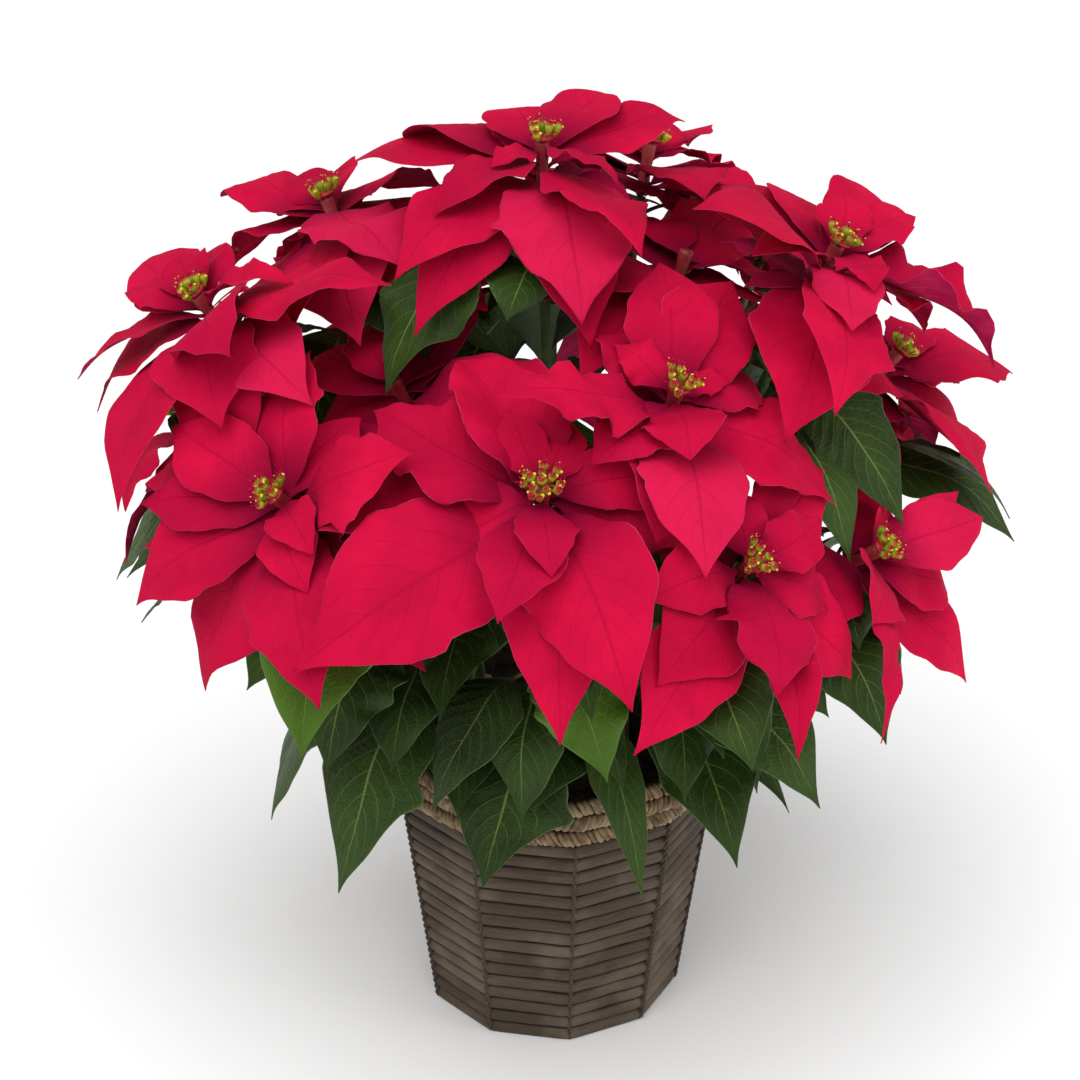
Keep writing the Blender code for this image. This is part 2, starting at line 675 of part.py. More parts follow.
def bloom_blades(name, centre, axis, rows, thicket):
    """A bloom's bracts, rooted one under another down the stem tip."""
    rng = random.Random(name)
    found = []
    plan = bloom_rows(axis, rows, rng)
    for k, (offset, length, width) in enumerate(plan):
        depth = FIRST_ROOT + (LAST_ROOT - FIRST_ROOT) * k / (len(plan) - 1)
        away = (offset - axis * offset.dot(axis)).normalized()
        root = centre - axis * (depth + HUB_DROP) + away * (HUB_R - ROOT_SUNK)
        small = length < SMALL_BRACT
        blade = Blade(root=root, tip=centre + offset, lift=axis * length * rng.uniform(0.09, 0.16),
                      width=width * BRACT_FULLNESS, thick=BRACT_THICK,
                      outline=SMALL_OUTLINE if small else BRACT_OUTLINE,
                      roll=rng.uniform(-0.30, 0.30), twist=rng.uniform(-0.15, 0.15),
                      wave=width * rng.uniform(0.02, 0.06), phase=rng.uniform(0, 2 * math.pi))
        clear = place(blade, axis, name, thicket)
        if clear:
            found.append(clear)
    return found


def branch_route(foot, centre, axis):
    """A branch from the fork out and up to the underside of its bloom."""
    fork = Vector((foot.x, foot.y, FORK_Z))
    end = centre - axis * (HUB_H + HUB_DROP + GAP)
    level = Vector((end.x - fork.x, end.y - fork.y, 0.0))
    start = Vector((foot.x, foot.y, FORK_Z - 12.0)) + level * 0.02
    pull = fork + level * 0.35 + Vector((0, 0, 0.22 * (end.z - fork.z)))
    steer = end - axis * 0.35 * (end - fork).length
    route = []
    for step in range(BRANCH_POINTS):
        t = 1 - (1 - step / (BRANCH_POINTS - 1)) ** 1.4
        u = 1 - t
        route.append(start * u ** 3 + pull * 3 * t * u ** 2 + steer * 3 * t * t * u + end * t ** 3)
    return route


def along_route(route, share):
    place_on = share * (len(route) - 1)
    i = min(int(place_on), len(route) - 2)
    return route[i].lerp(route[i + 1], place_on - i)


def trunk_solid(foot):
    """A cutting's rooted stem, from its hole in the soil to the fork."""
    heights = (SOIL_TOP - HOLE_DEPTH + GAP, SOIL_TOP, FORK_Z)
    return tube_solid([Vector((foot.x, foot.y, z)) for z in heights], [TRUNK_R, TRUNK_R, TRUNK_R * 0.9])


def branch_radii():
    last = BRANCH_POINTS - 1
    return [BRANCH_R + (BRANCH_TIP_R - BRANCH_R) * k / last for k in range(BRANCH_POINTS)]


def leaf_blade(stem, tip, width, rng):
    """A leaf on its stalk, arching out and hanging to its tip."""
    level = Vector((tip.x - stem.x, tip.y - stem.y, 0.0)).normalized()
    root = stem + level * (BRANCH_TIP_R - ROOT_SUNK)
    chord = tip - root
    lift = (Vector((0, 0, 1)) + level * 0.25) * chord.length * rng.uniform(0.14, 0.20)
    return Blade(root=root, tip=tip, lift=lift, width=width, thick=LEAF_THICK, outline=LEAF_OUTLINE,
                 roll=rng.uniform(-0.35, 0.35), twist=rng.uniform(-0.15, 0.15),
                 wave=width * rng.uniform(0.02, 0.05), phase=rng.uniform(0, 2 * math.pi))


def rule_leaf(route, share, heading, rng):
    """A leaf placed by rule along a branch."""
    root = along_route(route, share)
    length = LEAF_LONG * rng.uniform(0.85, 1.15)
    dip = math.radians(rng.uniform(2, 34))
    away = Vector((math.cos(heading) * math.cos(dip), math.sin(heading) * math.cos(dip), -math.sin(dip)))
    leaf = leaf_blade(root, root + away * length, LEAF_WIDE * rng.uniform(0.8, 1.1), rng)
    return replace(leaf, outline=INNER_OUTLINE)


def cluster_solids(centre, axis, cups):
    """The flower cluster in a bloom's middle: a low disc with pointed cups standing on it."""
    spin = Vector((0, 0, 1)).rotation_difference(axis).to_matrix()
    disc = []
    for height, radius in ((-HUB_DROP + GAP, DISC_FOOT_R), (-DISC_SUNK, DISC_R)):
        disc.append([spin @ Vector((radius * math.cos(a), radius * math.sin(a), height)) + centre
                     for a in (2 * math.pi * k / HUB_SIDES for k in range(HUB_SIDES))])
    solids = [loft(disc)]
    for k in range(cups):
        ring = 0.0 if k == 0 else (INNER_RING if k < 5 else OUTER_RING)
        turn = 2 * math.pi * k / 4 + (0.8 if k > 4 else 0.0)
        out = Vector((math.cos(turn), math.sin(turn), 0.0))
        lean = (Vector((0, 0, 1)) + out * ring * CUP_LEAN).normalized()
        foot = out * ring - Vector((0, 0, CUP_SUNK))
        tip_h = CUP_H - ring * CUP_FALL
        side = lean.orthogonal().normalized()
        cup = []
        for height, radius in ((0.0, CUP_FOOT_R), (tip_h * 0.6, CUP_R)):
            cup.append([centre + spin @ (foot + lean * height + Matrix.Rotation(2 * math.pi * j / 4, 3, lean)
                                         @ side * radius) for j in range(4)])
        solids.append(loft(cup, centre + spin @ (foot + lean * tip_h)))
    return solids


def loft(rings, peak=None):
    """A closed solid over rings of points, with flat ends or rising to a peak."""
    count = len(rings[0])
    verts = [point for ring in rings for point in ring]
    faces = []
    for k in range(len(rings) - 1):
        for i in range(count):
            j = (i + 1) % count
            low = k * count
            faces.append((low + i, low + j, low + count + j, low + count + i))
    faces.append(tuple(reversed(range(count))))
    top = (len(rings) - 1) * count
    if peak is None:
        faces.append(tuple(range(top, top + count)))
    else:
        faces += [(top + i, top + (i + 1) % count, len(verts)) for i in range(count)]
        verts.append(peak)
    return verts, faces


def hub_solid(centre, axis):
    """The coloured stem tip that a bloom's bracts are rooted in."""
    spin = Vector((0, 0, 1)).rotation_difference(axis).to_matrix()
    rings = []
    for height, radius in ((-HUB_DROP - HUB_H, HUB_R * 0.9), (-HUB_DROP, HUB_R)):
        rings.append([spin @ Vector((radius * math.cos(a), radius * math.sin(a), height)) + centre
                      for a in (2 * math.pi * k / HUB_SIDES for k in range(HUB_SIDES))])
    return loft(rings)


def cup_count(name):
    return CUPS_TWIN if name == "bloom_04" else CUPS


def basket_hull():
    """A plain shell round the basket, which the blades are kept clear of."""
    rings = []
    for z, radius in ((0.0, BASE_R + 4), (BROWN_H, BROWN_TOP_R + 5), (BROWN_H + RIM_H + 2, RIM_TOP_R + 8)):
        rings.append([Vector((radius * math.cos(a), radius * math.sin(a), z))
                      for a in (2 * math.pi * k / 20 for k in range(20))])
    return loft(rings)


def lay_out_plant():
    """Settles every blade. Returns bracts by bloom, leaves by cutting, branch routes, and bloom centres."""
    thicket = Thicket()
    centres = {}
    routes = {}
    bracts = {}
    leaves = {label: [] for label in PLANT_FEET}
    for label, foot in PLANT_FEET.items():
        thicket.add("plant_" + label, trunk_solid(foot))
    for name, (label, place_mm, _) in BLOOMS.items():
        centre = Vector(place_mm)
        axis = bloom_axis(centre)
        centres[name] = (centre, axis)
        routes[name] = branch_route(PLANT_FEET[label], centre, axis)
        thicket.add("plant_" + label, tube_solid(routes[name], branch_radii()))
        thicket.add(name, hub_solid(centre, axis))
        if name not in YOUNG:
            for solid in cluster_solids(centre, axis, cup_count(name)):
                thicket.add("cyathia" + name[-3:], solid)
    thicket.add("basket", basket_hull())
    for name, (_, _, rows) in BLOOMS.items():
        centre, axis = centres[name]
        bracts[name] = bloom_blades(name, centre, axis, rows, thicket)
    up = Vector((0, 0, 1))
    for k, (name, share, tip, width) in enumerate(SHOWN_LEAVES):
        label = BLOOMS[name][0]
        leaf = leaf_blade(along_route(routes[name], share), Vector(tip), width, random.Random(k))
        if k >= WHOLE_LEAVES:
            leaf = replace(leaf, outline=INNER_OUTLINE)
        clear = place(leaf, up, "plant_" + label, thicket)
        if clear:
            leaves[label].append(clear)
    for name, route in routes.items():
        label = BLOOMS[name][0]
        rng = random.Random("leaves of " + name)
        heading = math.atan2(route[-1].y - route[0].y, route[-1].x - route[0].x) - 2 * GOLDEN_TURN
        for share in LEAF_SHARES:
            heading += GOLDEN_TURN + rng.uniform(-0.3, 0.3)
            clear = place(rule_leaf(route, share, heading, rng), up, "plant_" + label, thicket)
            if clear:
                leaves[label].append(clear)
    return bracts, leaves, routes, centres


def make_plants(collection, leaves, routes):
    """Each cutting: its trunk, its branches and its leaves as one body."""
    material = finish("leaf", LEAF_GREEN, 0.5)
    for label, foot in PLANT_FEET.items():
        solids = [trunk_solid(foot)]
        for name, route in routes.items():
            if BLOOMS[name][0] == label:
                solids.append(tube_solid(route, branch_radii()))
        solids += [blade_solid(leaf) for leaf in leaves[label]]
        join_solids("plant_" + label, solids, collection, material)


def make_blooms(collection, bracts, centres):
    """Each bloom: its coloured stem tip and bracts as one body, and the flower cluster as another."""
    red = finish("bract", BRACT_RED, 0.6)
    bud = finish("cyathia", BUD_GREEN, 0.5)
    for name, (centre, axis) in centres.items():
        solids = [hub_solid(centre, axis)] + [blade_solid(blade) for blade in bracts[name]]
        join_solids(name, solids, collection, red)
        if name not in YOUNG:
            join_solids("cyathia" + name[-3:], cluster_solids(centre, axis, cup_count(name)), collection, bud)


def main():
    start_empty()
    parts = new_collection(OBJECT_NAME)
    cutters = new_collection("cutters")
    make_basket_body(parts)
    make_basket_rim(parts)
    make_seam_cords(parts)
    make_nursery_pot(parts)
    make_soil(parts, cutters)
    bracts, leaves, routes, centres = lay_out_plant()
    make_plants(parts, leaves, routes)
    make_blooms(parts, bracts, centres)


main()
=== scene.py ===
"""A potted poinsettia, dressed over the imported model. Lengths are in millimetres and turned into metres as
each piece is made. The layout of stems, leaves and bracts is worked out here by the same rules as in the
part's source, so that each fine blade lies where its plain one does."""

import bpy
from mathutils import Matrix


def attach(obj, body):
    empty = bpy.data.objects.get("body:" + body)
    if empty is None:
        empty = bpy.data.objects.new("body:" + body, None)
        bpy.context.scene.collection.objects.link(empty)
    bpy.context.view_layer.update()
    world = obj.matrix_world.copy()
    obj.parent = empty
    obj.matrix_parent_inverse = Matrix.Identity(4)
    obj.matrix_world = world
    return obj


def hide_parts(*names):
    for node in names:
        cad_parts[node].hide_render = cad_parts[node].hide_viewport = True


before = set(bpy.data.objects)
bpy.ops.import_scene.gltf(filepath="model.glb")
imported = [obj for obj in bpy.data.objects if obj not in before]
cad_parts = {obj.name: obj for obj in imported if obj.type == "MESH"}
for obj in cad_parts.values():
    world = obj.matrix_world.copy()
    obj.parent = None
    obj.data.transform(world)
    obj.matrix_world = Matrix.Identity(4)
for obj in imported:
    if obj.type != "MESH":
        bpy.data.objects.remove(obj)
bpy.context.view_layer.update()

import math
import random
from dataclasses import dataclass, replace

import bmesh
import bpy
import numpy as np
from mathutils import Matrix, Vector
from mathutils.bvhtree import BVHTree

MM = 0.001
GAP = 0.3
WELD = 0.01 * MM
UP = Vector((0.0, 0.0, 1.0))

# Basket: a ten-sided tapered cup of lapped strips
SIDES = 10
BASKET_TURN = math.radians(25.5)
BASE_R = 84.0
BROWN_TOP_R = 105.0
BROWN_H = 158.0
BASKET_WALL = 4.0
BASKET_FLOOR = 4.0
STRIPS = 16
STRIP_H = BROWN_H / STRIPS
STRIP_LAP = 1.6

# Seagrass band round the basket's mouth
RIM_H = 36.0
RIM_TOP_R = 113.0
RIM_IN = 6.0
RIM_ROWS = 3

# Cords over the ten corners
CORD_DROP = 3.0

# Nursery pot and soil
POT_BASE_R = 62.0
POT_TOP_R = 86.0
POT_H = 168.0
POT_WALL = 1.6
POT_LIP = 3.5
POT_FLOOR = 3.0
POT_LIP_H = 6.0
SOIL_TOP = 152.0
SOIL_SINK = 5.0

# Stems
HOLE_DEPTH = 45.0
TRUNK_R = 6.3
FORK_Z = 212.0
BRANCH_R = 3.6
BRANCH_TIP_R = 3.0
BRANCH_POINTS = 5

# Blooms
HUB_R = 4.2
HUB_H = 32.0
HUB_DROP = 4.0
HUB_SIDES = 6
FIRST_ROOT = 7.0
LAST_ROOT = 27.0
BRACT_THICK = 1.6
LEAF_THICK = 1.6
ROOT_R = 1.4
ROOT_SUNK = 1.9
DOME_CENTRE = Vector((0.0, 0.0, 330.0))
UPWARD = 0.6

# Flower cluster: a low disc, and cups on it in rings round a middle one
CUPS = 5
CUPS_TWIN = 9
TWIN_BLOOM = "bloom_04"
DISC_R = 8.6
DISC_FOOT_R = 7.0
DISC_SUNK = 1.0
INNER_RING = 5.2
OUTER_RING = 8.6
CUP_H = 11.0
CUP_FALL = 0.35
CUP_LEAN = 0.05
CUP_SUNK = 2.4
CUP_R = 3.2
CUP_FOOT_R = 2.0

# Clearance kept between blades of different nodes, and between those of one node past their stalks
ROOM = 1.3
OWN_ROOM = 0.4
OWN_START = 0.25

# The direction the plant is first seen from: level with its front, 24 degrees up
VIEW_RISE = math.radians(24.0)
VIEW_UP = Vector((0.0, math.sin(VIEW_RISE), math.cos(VIEW_RISE)))
VIEW_NEAR = Vector((0.0, -math.cos(VIEW_RISE), math.sin(VIEW_RISE)))

# Each cutting's place in the soil
PLANT_FEET = {"left": Vector((-44.0, 14.0, 0.0)), "right": Vector((44.0, 14.0, 0.0)),
              "middle": Vector((0.0, -38.0, 0.0))}

# Blooms: cutting, centre of the flower cluster, then bracts as (right, up, length, width), where right and up
# place the tip as seen from the front. A bloom without rows gets its bracts by rule.
BLOOMS = {
    "bloom_01": ("middle", (-7, -10, 570), (
        (-29, -22, 40, 20), (44, -32, 62, 30), (-23, 24, 70, 44), (43, 34, 84, 42), (-60, -51, 84, 42),
        (-13, 32, 86, 46), (85, 19, 100, 44), (-85, 27, 112, 58), (56, -74, 112, 54), (24, -89, 120, 70),
        (-122, -6, 126, 60), (-81, -87, 126, 60), (-70, -118, 142, 54), (30, -112, 128, 56))),
    "bloom_02": ("left", (-205, -40, 488), (
        (-14, 24, 44, 30), (60, 2, 64, 30), (-45, 2, 56, 30), (6, 33, 70, 42), (-72, -48, 92, 36),
        (-45, 30, 84, 46), (116, 0, 124, 62), (-64, -66, 104, 46), (26, -82, 104, 56), (46, -44, 98, 50),
        (-51, -110, 130, 56), (34, -112, 128, 56), (84, -62, 120, 52))),
    "bloom_03": ("right", (160, -50, 521), (
        (5, 30, 46, 30), (14, -33, 44, 28), (48, 18, 66, 34), (-54, -14, 66, 34), (-1, -56, 72, 40),
        (-34, 39, 92, 46), (-63, 50, 104, 54), (40, 40, 96, 48), (60, -44, 98, 50), (90, -78, 124, 54),
        (-88, 6, 112, 54), (-37, -116, 130, 70), (28, -104, 124, 54))),
    "bloom_04": ("middle", (-7, -195, 433), (
        (-18, 40, 52, 26), (17, 35, 52, 28), (5, -47, 58, 30), (-66, -40, 82, 46), (80, 13, 96, 34),
        (-80, -16, 98, 38), (84, -28, 96, 42), (-21, -62, 84, 40), (-92, 44, 116, 54), (44, -114, 128, 62),
        (-46, 66, 112, 54), (-118, -110, 156, 78), (8, -112, 124, 48))),
    "bloom_05": ("left", (-152, -150, 410), (
        (26, -34, 50, 26), (20, -52, 62, 32), (-60, 38, 84, 44), (45, 42, 78, 42), (-76, 4, 90, 38),
        (16, 80, 96, 44), (78, 20, 96, 48), (-80, -62, 110, 54), (90, -22, 114, 54), (-46, -110, 126, 68),
        (24, -88, 116, 52), (-110, -60, 130, 50), (62, -74, 118, 52))),
    "bloom_06": ("middle", (66, -140, 468), (
        (-34, 22, 46, 26), (31, 4, 44, 14), (2, -42, 58, 40), (-46, -40, 70, 40), (52, 28, 76, 52),
        (-48, 32, 76, 36), (-8, 72, 96, 46), (34, 62, 98, 52), (64, -6, 94, 52), (-96, -10, 110, 42),
        (84, -60, 118, 62), (14, -86, 108, 54), (-34, -78, 104, 48))),
    "bloom_07": ("right", (105, -190, 388), (
        (-17, 40, 52, 30), (34, 28, 58, 30), (43, -28, 66, 34), (-60, -20, 76, 36), (4, -68, 86, 42),
        (-50, -58, 92, 50), (36, 58, 98, 46), (17, -100, 110, 28), (70, -62, 106, 50), (-44, 56, 98, 44),
        (-48, -98, 126, 50))),
    "bloom_08": ("right", (186, -110, 360), (
        (2, 28, 44, 24), (-13, -42, 60, 42), (50, 32, 76, 18), (60, 14, 78, 40), (-58, -28, 84, 48),
        (46, -28, 80, 46), (-10, -106, 118, 20), (-24, 52, 96, 46), (20, -88, 114, 48), (56, -80, 112, 50))),
    "bloom_09": ("left", (-137, 40, 524), (
        (-21, 18, 44, 30), (-36, -6, 56, 32), (5, 22, 54, 32), (50, -52, 98, 60), (70, 12, 98, 50),
        (-50, 20, 96, 52), (-66, -34, 110, 54), (-20, 38, 104, 54), (34, 36, 104, 54), (-18, -72, 108, 54),
        (28, -98, 124, 60), (80, -66, 126, 56))),
    "bloom_10": ("middle", (60, 90, 545), (
        (16, 16, 46, 30), (-26, 10, 52, 30), (46, -12, 72, 40), (30, 28, 88, 46), (-36, 30, 92, 46),
        (64, 8, 98, 50), (78, -34, 114, 56), (24, -62, 110, 54), (-66, 4, 98, 50), (-12, 20, 96, 52),
        (70, -84, 126, 56), (112, -20, 128, 54))),
    "bloom_11": ("left", (-150, 140, 475), ()),
    "bloom_12": ("middle", (0, 190, 490), ()),
    "bloom_13": ("right", (150, 160, 480), ()),
    "bloom_14": ("left", (-232, 34, 390), ()),
    "bloom_15": ("right", (213, 30, 430), (
        (16, 22, 50, 30), (-24, 16, 52, 32), (40, -14, 70, 36), (34, 26, 84, 46), (-34, 34, 90, 46),
        (66, -22, 102, 54), (-60, -30, 98, 48), (41, -90, 114, 56), (62, -80, 118, 48), (-22, -74, 106, 50),
        (-62, -78, 122, 52))),
    "bloom_16": ("middle", (95, 222, 395), ()),
    "bloom_17": ("left", (-105, 220, 400), ()),
    "bloom_18": ("right", (222, 140, 378), ()),
    "bloom_19": ("left", (-92, -70, 448), (
        (-20, 26, 62, 30), (30, 14, 66, 32), (-4, 60, 96, 54), (72, 44, 112, 60), (-58, 30, 96, 48),
        (88, -12, 124, 64), (-62, -26, 100, 48), (34, 84, 122, 60), (40, -70, 112, 54), (-30, -74, 108, 50))),
    "bloom_20": ("right", (78, -6, 505), (
        (-24, 20, 62, 32), (26, 18, 66, 32), (60, -6, 96, 52), (-66, -14, 108, 58), (30, 60, 98, 48),
        (-40, 48, 96, 48), (74, -50, 112, 56), (-62, -66, 118, 60), (10, -76, 108, 58))),
}
# Young blooms, whose flower cluster doesn't show yet
YOUNG = ("bloom_19", "bloom_20")
RULE_BRACTS = 10
RULE_SHORT = 48.0
RULE_LONG = 122.0
GOLDEN_TURN = math.radians(137.5)

# Leaves that hang where they show: bloom whose branch carries them, share along that branch, tip, width
SHOWN_LEAVES = (
    ("bloom_05", 0.35, (-176, -92, 172), 78), ("bloom_05", 0.22, (-128, -128, 142), 86),
    ("bloom_04", 0.30, (-70, -140, 206), 80), ("bloom_04", 0.10, (-42, -150, 160), 70),
    ("bloom_06", 0.16, (52, -150, 152), 38), ("bloom_07", 0.12, (88, -132, 141), 64),
    ("bloom_04", 0.20, (40, -152, 225), 26), ("bloom_07", 0.24, (76, -140, 213), 50),
    ("bloom_07", 0.35, (156, -124, 198), 68), ("bloom_08", 0.12, (128, -82, 185), 50),
    ("bloom_08", 0.05, (142, -66, 150), 34), ("bloom_08", 0.55, (258, -66, 264), 34),
    ("bloom_08", 0.42, (192, -98, 250), 44), ("bloom_05", 0.66, (-240, -96, 308), 46),
    ("bloom_05", 0.12, (-108, -106, 196), 50), ("bloom_15", 0.72, (278, -24, 378), 48),
    ("bloom_09", 0.80, (-108, -10, 500), 40), ("bloom_03", 0.70, (214, -66, 366), 52),
    ("bloom_14", 0.60, (-262, -20, 300), 52), ("bloom_04", 0.62, (20, -206, 300), 44),
    ("bloom_04", 0.34, (-24, -160, 214), 56), ("bloom_04", 0.44, (30, -176, 246), 54),
    ("bloom_05", 0.46, (-130, -150, 236), 56), ("bloom_07", 0.46, (116, -150, 236), 54),
    ("bloom_05", 0.30, (-94, -140, 232), 54), ("bloom_08", 0.30, (168, -64, 226), 52),
    ("bloom_14", 0.30, (-190, -40, 232), 56), ("bloom_19", 0.30, (-66, -132, 262), 50),
    ("bloom_06", 0.06, (14, -152, 186), 66), ("bloom_19", 0.10, (-92, -136, 206), 66),
    ("bloom_20", 0.12, (98, -132, 236), 64), ("bloom_19", 0.20, (-150, -84, 222), 60),
    ("bloom_01", 0.30, (-20, -120, 300), 60), ("bloom_20", 0.40, (110, -96, 330), 60),
    ("bloom_19", 0.60, (-120, -120, 350), 60), ("bloom_01", 0.60, (-60, -96, 430), 60),
)
# How many of them are seen whole. The rest are partly hidden and get a plainer outline.
WHOLE_LEAVES = 16
LEAF_SHARES = (0.30, 0.66, 0.86)
LEAF_LONG = 124.0
LEAF_WIDE = 64.0

# Outline of a blade: share along it, and half width as a share of the greatest
BRACT_OUTLINE = ((0.13, 0.08), (0.30, 0.80), (0.52, 1.0), (0.78, 0.55))
SMALL_OUTLINE = ((0.16, 0.10), (0.42, 0.95), (0.74, 0.62))
LEAF_OUTLINE = ((0.30, 0.08), (0.44, 0.92), (0.65, 0.94), (0.86, 0.44))
INNER_OUTLINE = ((0.26, 0.08), (0.50, 0.98), (0.78, 0.64))
SMALL_BRACT = 90.0
BRACT_FULLNESS = 1.1

# Camera, as the photograph was taken
CAMERA_RISE = math.radians(24.0)
CAMERA_AWAY = 1.3
CAMERA_AIM = Vector((-0.008, 0.0, 0.315))
CAMERA_LENS = 70.23

BRACT_GRID = (27, 13)
LEAF_GRID = (42, 17)
INNER_BRACT_GRID = (14, 9)
INNER_LEAF_GRID = (24, 11)
SETTLE_GRID = (14, 5)
# That check leaves out the first rings, where the blades of a bloom meet on their stem
SETTLE_PAST = 4
SETTLE_ROUNDS = 6
SETTLE_SHARE = 0.55
EDGE_THICK = 0.16
HALF_LEAST = 0.12
MARGIN = 0.965
STALK_R = 1.25
LEAF_STALK_R = 1.35
WAVE_TURN = 9.0
DROOP_START = 0.70
TOOTH_REACH = 0.06

# Blades that the plain model doesn't have: low bracts, and leaves under a bloom and low at the back
INNER_BRACTS = 6
INNER_LONG = 54.0
INNER_DEPTH = 27.0
INNER_STEP = 0.7
INNER_AMOUNT = 0.6
INNER_LEAF_SHARES = (0.78, 0.94)
INNER_LEAF_LONG = 84.0
LOW_LEAF_SHARES = (0.10, 0.24)
LOW_LEAF_LONG = 104.0
BACK_FROM = 60

# Stems and cups: rings along each, and a cup's outline as (share of its height, share of its width)
TRUNK_RINGS = 30
BRANCH_RINGS = 60
TIP_RINGS = 16
BALL_RINGS = 5
CUP_FORM = ((-0.30, 0.34), (0.0, 0.46), (0.25, 0.82), (0.50, 1.0), (0.72, 0.94), (0.90, 0.70), (1.0, 0.52),
            (0.94, 0.30))

# Basket details: a strip cut across, as (out from its foot or head, up from its low or high edge, painted
# shade where it tucks under)
STEPS_A_SIDE = 8
CORNER_EASE = 0.006
STRIP_FOOT = ((-3.4, 1.4, 1.0), (-1.8, 0.5, 1.0), (-0.7, 0.6, 0.7), (-0.05, 1.5, 0.15), (0.50, 2.7, 0.0),
              (0.70, 4.1, 0.0), (0.62, 5.4, 0.0), (0.20, 6.8, 0.0))
STRIP_HEAD = ((-0.3, -1.9, 0.25), (-1.4, -0.9, 1.0), (-2.6, -0.4, 1.0))
# Cords as (strand's radius, reach to the side, inset, reach outward, tone of the second strand), and the
# corners with finer stitching
PLAIN_CORD = (0.80, 1.05, 0.5, 0.6, 0.1)
FINE_CORD = (0.42, 0.7, 0.1, 0.35, 0.9)
FINE_CORNERS = (3, 5, 7, 8)
CORD_RINGS = 200

# Wound seagrass, pot and soil
ROPE_TURNS = 62
ROPE_STRANDS = 3
ROPE_STEPS = 10
ROUND_SIDES = 96
CRUMBS = 260
GRIT_EVERY = 9

# Tints of single tubes, as the three numbers that their materials read
TINT_BARK = (0.5, -0.6, 0.0)
TINT_TIP = (0.5, 2.0, 0.0)
TINT_THREAD = (0.5, 1.0, 0.0)
TINT_DISC = (0.2, 0.75, 0.0)
TINT_STALK = (0.2, 0.3, 0.1)
# The cup inside the basket carries half of the strips' painted shade, over its darker lining
TINT_CUP = (0.4, 0.5, 1.0)
# The rim's lining is painted shade all over
TINT_LINING = (0.0, 0.0, 1.0)
TINT_POT = (0.5, 0.0, 0.0)
TINT_SOIL = (0.4, 0.0, 0.0)

# Studio: the surround's strength, and lights as (kind, name, place, aim, energy, size or the sun's angle)
FLOOR_REACH = 30.0
SURROUND = 0.54
LIGHTS = (("SUN", "key", (-0.25, -0.75, 1.6), (0.0, 0.0, 0.0), 1.98, 60.0),
          ("AREA", "side", (1.5, -0.6, 0.7), (0.05, 0.0, 0.20), 6.0, 0.9),
          ("AREA", "front", (-0.9, -1.6, 1.3), (0.0, 0.0, 0.35), 3.0, 0.8))

# Half width along each kind of blade, as a share of its greatest
BRACT_FORM = ((0, 0.0), (0.04, 0.0), (0.07, 0.14), (0.11, 0.34), (0.16, 0.53), (0.23, 0.72), (0.31, 0.87),
              (0.40, 0.97), (0.48, 1.0), (0.56, 0.97), (0.64, 0.87), (0.72, 0.70), (0.80, 0.48), (0.87, 0.28),
              (0.93, 0.13), (0.97, 0.05), (1, 0.0))
SMALL_FORM = ((0, 0.0), (0.05, 0.0), (0.09, 0.16), (0.15, 0.40), (0.24, 0.70), (0.35, 0.93), (0.45, 1.0),
              (0.57, 0.95), (0.68, 0.80), (0.78, 0.57), (0.87, 0.33), (0.94, 0.14), (1, 0.0))
LEAF_FORM = ((0, 0.0), (0.25, 0.0), (0.28, 0.20), (0.32, 0.52), (0.37, 0.80), (0.43, 0.95), (0.50, 1.0),
             (0.58, 1.0), (0.65, 0.95), (0.72, 0.82), (0.79, 0.63), (0.86, 0.42), (0.92, 0.21), (0.96, 0.08),
             (1, 0.0))
FORM_STEPS = 241
FORM_BLUR = 6

# Each kind of blade: its form, its stalk's radius and its count of side veins
BLADE_KINDS = {"leaf": (LEAF_FORM, LEAF_STALK_R, 12.0), "bract": (BRACT_FORM, STALK_R, 9.0),
               "small": (SMALL_FORM, STALK_R, 9.0)}


@dataclass(frozen=True)
class Blade:
    """One bract or leaf. Its midline runs from root to tip and is arched by lift."""
    root: Vector
    tip: Vector
    lift: Vector
    width: float
    thick: float
    outline: tuple
    roll: float
    twist: float
    wave: float
    phase: float


def even_turns(sides):
    return 2 * math.pi * np.arange(sides) / sides


def level_at(angle):
    """The level direction at an angle."""
    return Vector((math.cos(angle), math.sin(angle), 0.0))


def dipped(heading, dip):
    """A direction below the level one at an angle."""
    return Vector((math.cos(heading) * math.cos(dip), math.sin(heading) * math.cos(dip), -math.sin(dip)))


def circle(radius, height, sides):
    """Points at even turns round the Z axis."""
    return [Vector((radius * math.cos(a), radius * math.sin(a), height)) for a in even_turns(sides)]


def wrap(radius, angle, z):
    """Rows of points at angles round the Z axis."""
    return np.stack(np.broadcast_arrays(radius * np.cos(angle), radius * np.sin(angle), z), axis=-1)


def facing(axis):
    """The turn that brings straight up onto an axis."""
    return UP.rotation_difference(axis).to_matrix()


def add_object(name, data):
    obj = bpy.data.objects.new(name, data)
    bpy.context.scene.collection.objects.link(obj)
    return obj


def basket_r(z):
    """Radius of the brown body's corners at a height."""
    return BASE_R + (BROWN_TOP_R - BASE_R) * z / BROWN_H


def corner_share(angle):
    """How far a ten-sided outline lies out at an angle, as a share of its corner radius."""
    slice_angle = 2 * math.pi / SIDES
    off = (angle - BASKET_TURN) % slice_angle - slice_angle / 2
    flat = math.cos(slice_angle / 2) / np.cos(off)
    return 0.65 * flat + 0.35 * math.cos(slice_angle / 4)


